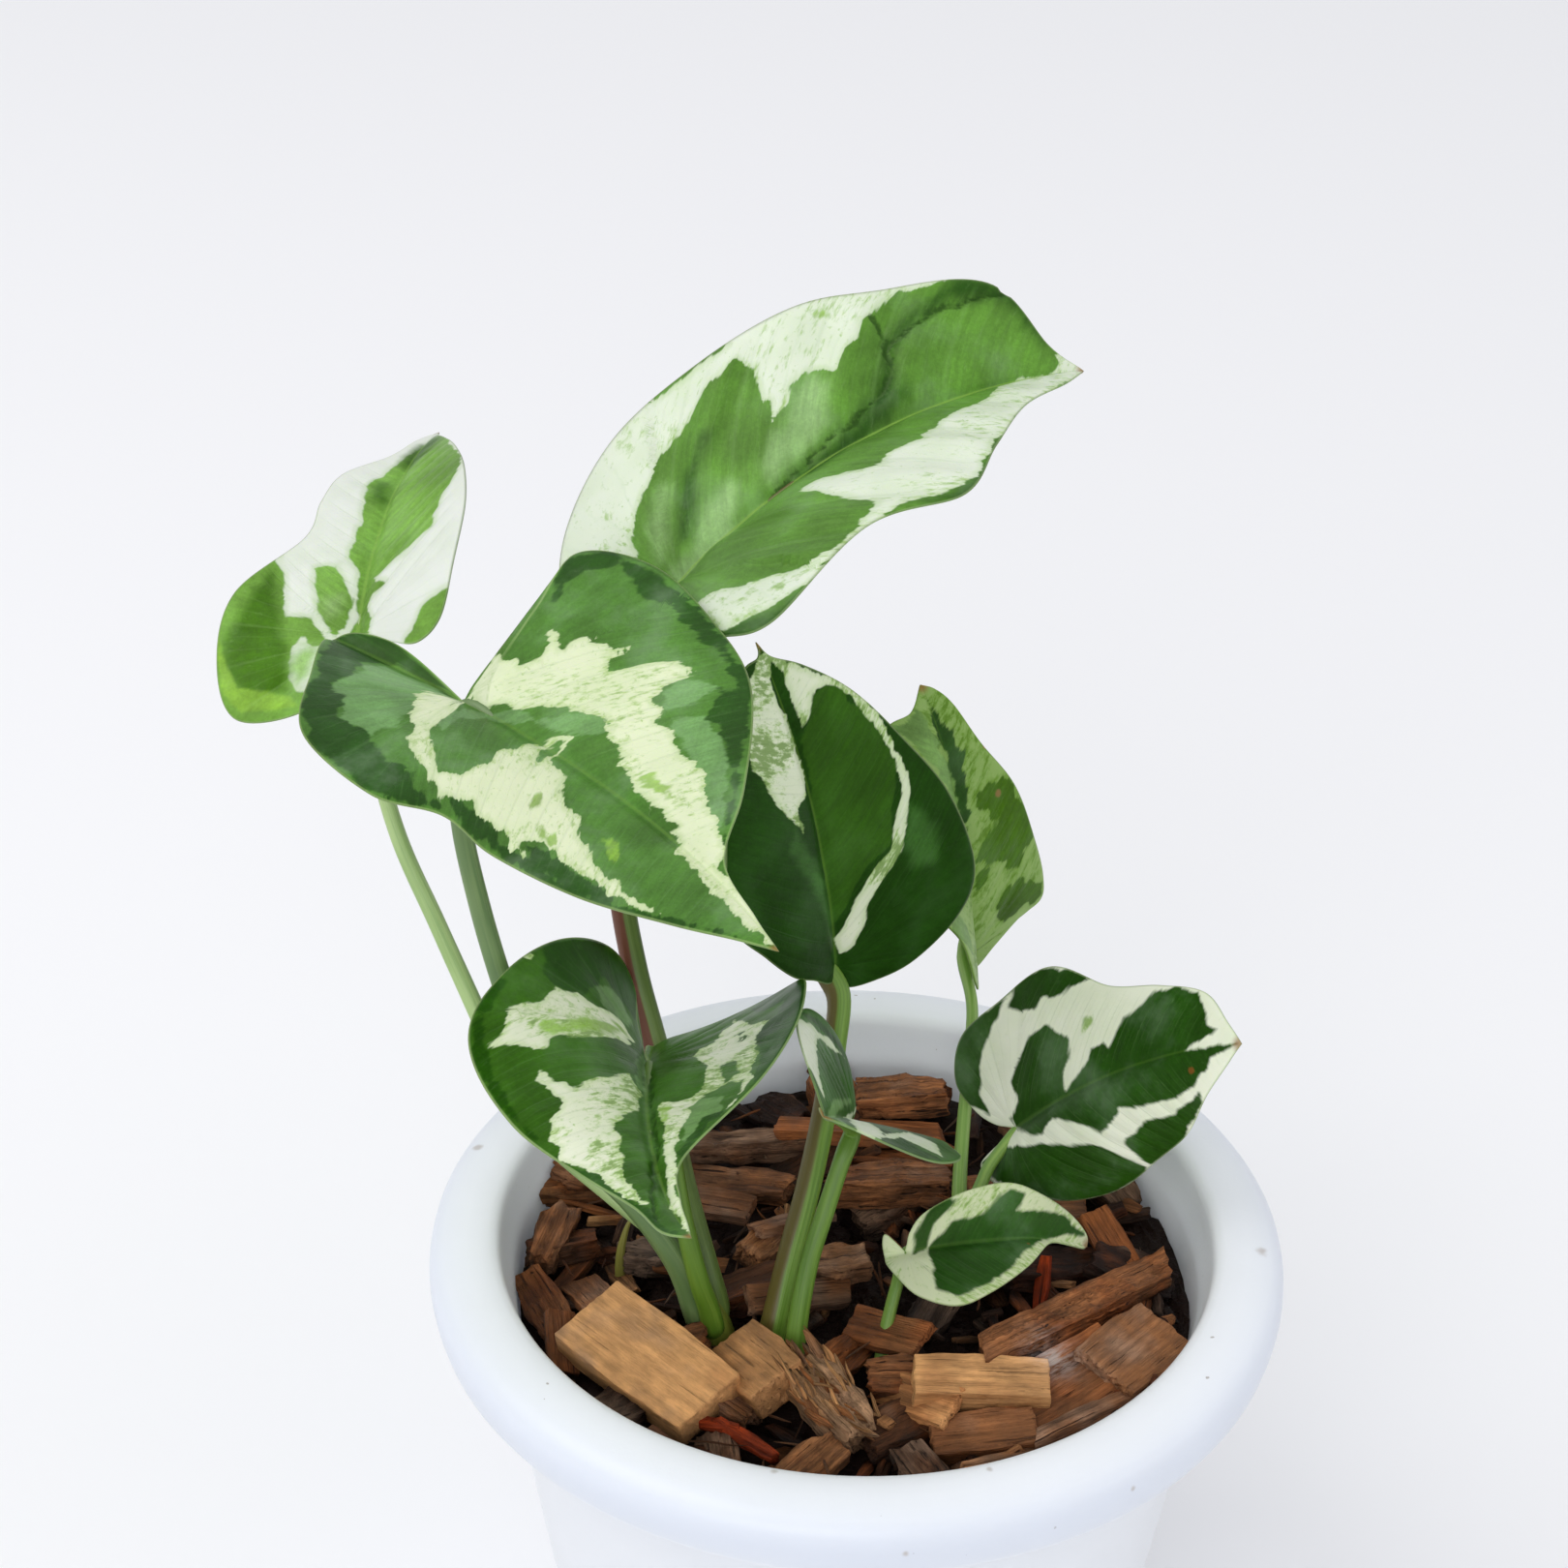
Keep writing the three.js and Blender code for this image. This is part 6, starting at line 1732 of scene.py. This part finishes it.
class POTHOS_OT_stems(bpy.types.Operator):
    """Raise the two short stems and the dry sprout out of the mix."""
    bl_idname = "pothos.stems"
    bl_label = "Stems"

    def execute(self, context):
        for number, (name, stem) in enumerate(STEMS.items()):
            path = even_path(stem["path"], STEM_STEPS)
            share = np.linspace(0, 1, len(path))
            ring = 0.04 * np.exp(-((share - 0.45) / 0.02) ** 2)
            radii = (stem["lower"] + (stem["upper"] - stem["lower"]) * share) * (1 + ring)
            rounding = np.sqrt(np.clip(1 - ((share - 0.55) / 0.45).clip(0, 1) ** 2, 0.02, 1))
            vertices, faces, skin, _ = tube(path, radii * rounding, STEM_SIDES)
            material = stalk_material(name, *stem["tones"], float(number + 40))
            piece = new_object(name + "_visual", vertices, faces, [material])
            set_vectors(piece, "skin", skin)
            set_values(piece, "flush", np.full(len(vertices), 0.25))
            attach(piece, "root")
            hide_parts(name)
        return {"FINISHED"}


class POTHOS_OT_stage(bpy.types.Operator):
    """Set the pale floor, the soft studio lights and the camera."""
    bl_idname = "pothos.stage"
    bl_label = "Stage"

    def execute(self, context):
        settings = context.scene.pothos_stage
        scene = context.scene
        floor_mesh = bpy.data.meshes.new("floor")
        corners = [(FLOOR_REACH * x, FLOOR_REACH * y, 0) for x, y in ((-1, -1), (1, -1), (1, 1), (-1, 1))]
        floor_mesh.from_pydata(corners, [], [(0, 1, 2, 3)])
        floor = bpy.data.objects.new("floor", floor_mesh)
        scene.collection.objects.link(floor)
        material, _, _ = new_material("studio floor", {"Base Color": settings.floor[:], "Roughness": 0.9})
        floor_mesh.materials.append(material)
        floor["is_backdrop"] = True
        scene.view_settings.view_transform = "Standard"
        world = bpy.data.worlds.new("studio")
        scene.world = world
        world.use_nodes = True
        background = world.node_tree.nodes["Background"]
        background.inputs["Color"].default_value = tint("room")
        background.inputs["Strength"].default_value = settings.sky_strength
        # Place and size of each lamp in metres, and its power
        lights = [
            ("key light", (-1.1, -0.1, 2.0), 1.4, settings.key_power),
            ("front light", (-0.4, -1.9, 1.25), 1.4, settings.fill_power),
            ("right light", (1.7, -0.4, 1.0), 1.2, settings.fill_power * 0.2),
        ]
        for name, place, size, power in lights:
            lamp_data = bpy.data.lights.new(name, "AREA")
            lamp_data.energy = power
            lamp_data.size = size
            lamp = bpy.data.objects.new(name, lamp_data)
            lamp.location = place
            aim = Vector(AIM) - Vector(place)
            lamp.rotation_euler = aim.to_track_quat("-Z", "Y").to_euler()
            scene.collection.objects.link(lamp)
            lamp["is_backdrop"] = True
        self.add_camera(scene)
        return {"FINISHED"}

    def add_camera(self, scene):
        """The view of the photograph."""
        down, pan, roll = (math.radians(angle) for angle in (CAMERA_DOWN, CAMERA_PAN, CAMERA_ROLL))
        ahead = Vector((math.sin(pan) * math.cos(down), math.cos(pan) * math.cos(down), -math.sin(down)))
        level = Vector((math.cos(pan), -math.sin(pan), 0))
        over = level.cross(ahead)
        right = math.cos(roll) * level + math.sin(roll) * over
        up = math.cos(roll) * over - math.sin(roll) * level
        lens = bpy.data.cameras.new("photograph view")
        lens.sensor_fit = "HORIZONTAL"
        lens.sensor_width = SENSOR_WIDTH
        lens.lens = CAMERA_LENS
        lens.clip_start = 0.01
        camera = bpy.data.objects.new("photograph view", lens)
        turn = Matrix((right, up, -ahead)).transposed().to_4x4()
        camera.matrix_world = Matrix.Translation(Vector(CAMERA_PLACE) * MM) @ turn
        scene.collection.objects.link(camera)
        scene.camera = camera


class POTHOS_PT_panel(bpy.types.Panel):
    """Lists the settings and the pieces."""
    bl_label = "Snow Queen Pothos"
    bl_idname = "POTHOS_PT_panel"
    bl_space_type = "VIEW_3D"
    bl_region_type = "UI"
    bl_category = "Pothos"

    def draw(self, context):
        for title, settings, operator in (
                ("Pot", context.scene.pothos_pot, "pothos.pot"),
                ("Bark Mix", context.scene.pothos_bark, "pothos.bark"),
                ("Leaves", context.scene.pothos_leaf, "pothos.leaves"),
                ("Stems", None, "pothos.stems"),
                ("Stage", context.scene.pothos_stage, "pothos.stage")):
            box = self.layout.box()
            box.label(text=title)
            if settings is not None:
                for key in settings.bl_rna.properties.keys():
                    if key not in ("rna_type", "name"):
                        box.prop(settings, key)
            box.operator(operator)


SETTINGS = {"pothos_pot": PotSettings, "pothos_bark": BarkSettings, "pothos_leaf": LeafSettings,
            "pothos_stage": StageSettings}
CLASSES = [PotSettings, BarkSettings, LeafSettings, StageSettings, POTHOS_OT_pot, POTHOS_OT_bark,
           POTHOS_OT_leaves, POTHOS_OT_stems, POTHOS_OT_stage, POTHOS_PT_panel]


def register():
    for made in CLASSES:
        bpy.utils.register_class(made)
    for name, kind in SETTINGS.items():
        setattr(bpy.types.Scene, name, PointerProperty(type=kind))


def unregister():
    for name in SETTINGS:
        delattr(bpy.types.Scene, name)
    for made in reversed(CLASSES):
        bpy.utils.unregister_class(made)


def plain(box):
    """A box as plain lists."""
    return [[float(value) for value in corner] for corner in box]


def main():
    register()
    bpy.ops.pothos.pot()
    bpy.ops.pothos.bark()
    bpy.ops.pothos.stems()
    bpy.ops.pothos.leaves()
    bpy.ops.pothos.stage()
    {"cad": plain(CAD_BOX), "visual": plain(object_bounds())}


if __name__ == "__main__":
    main()
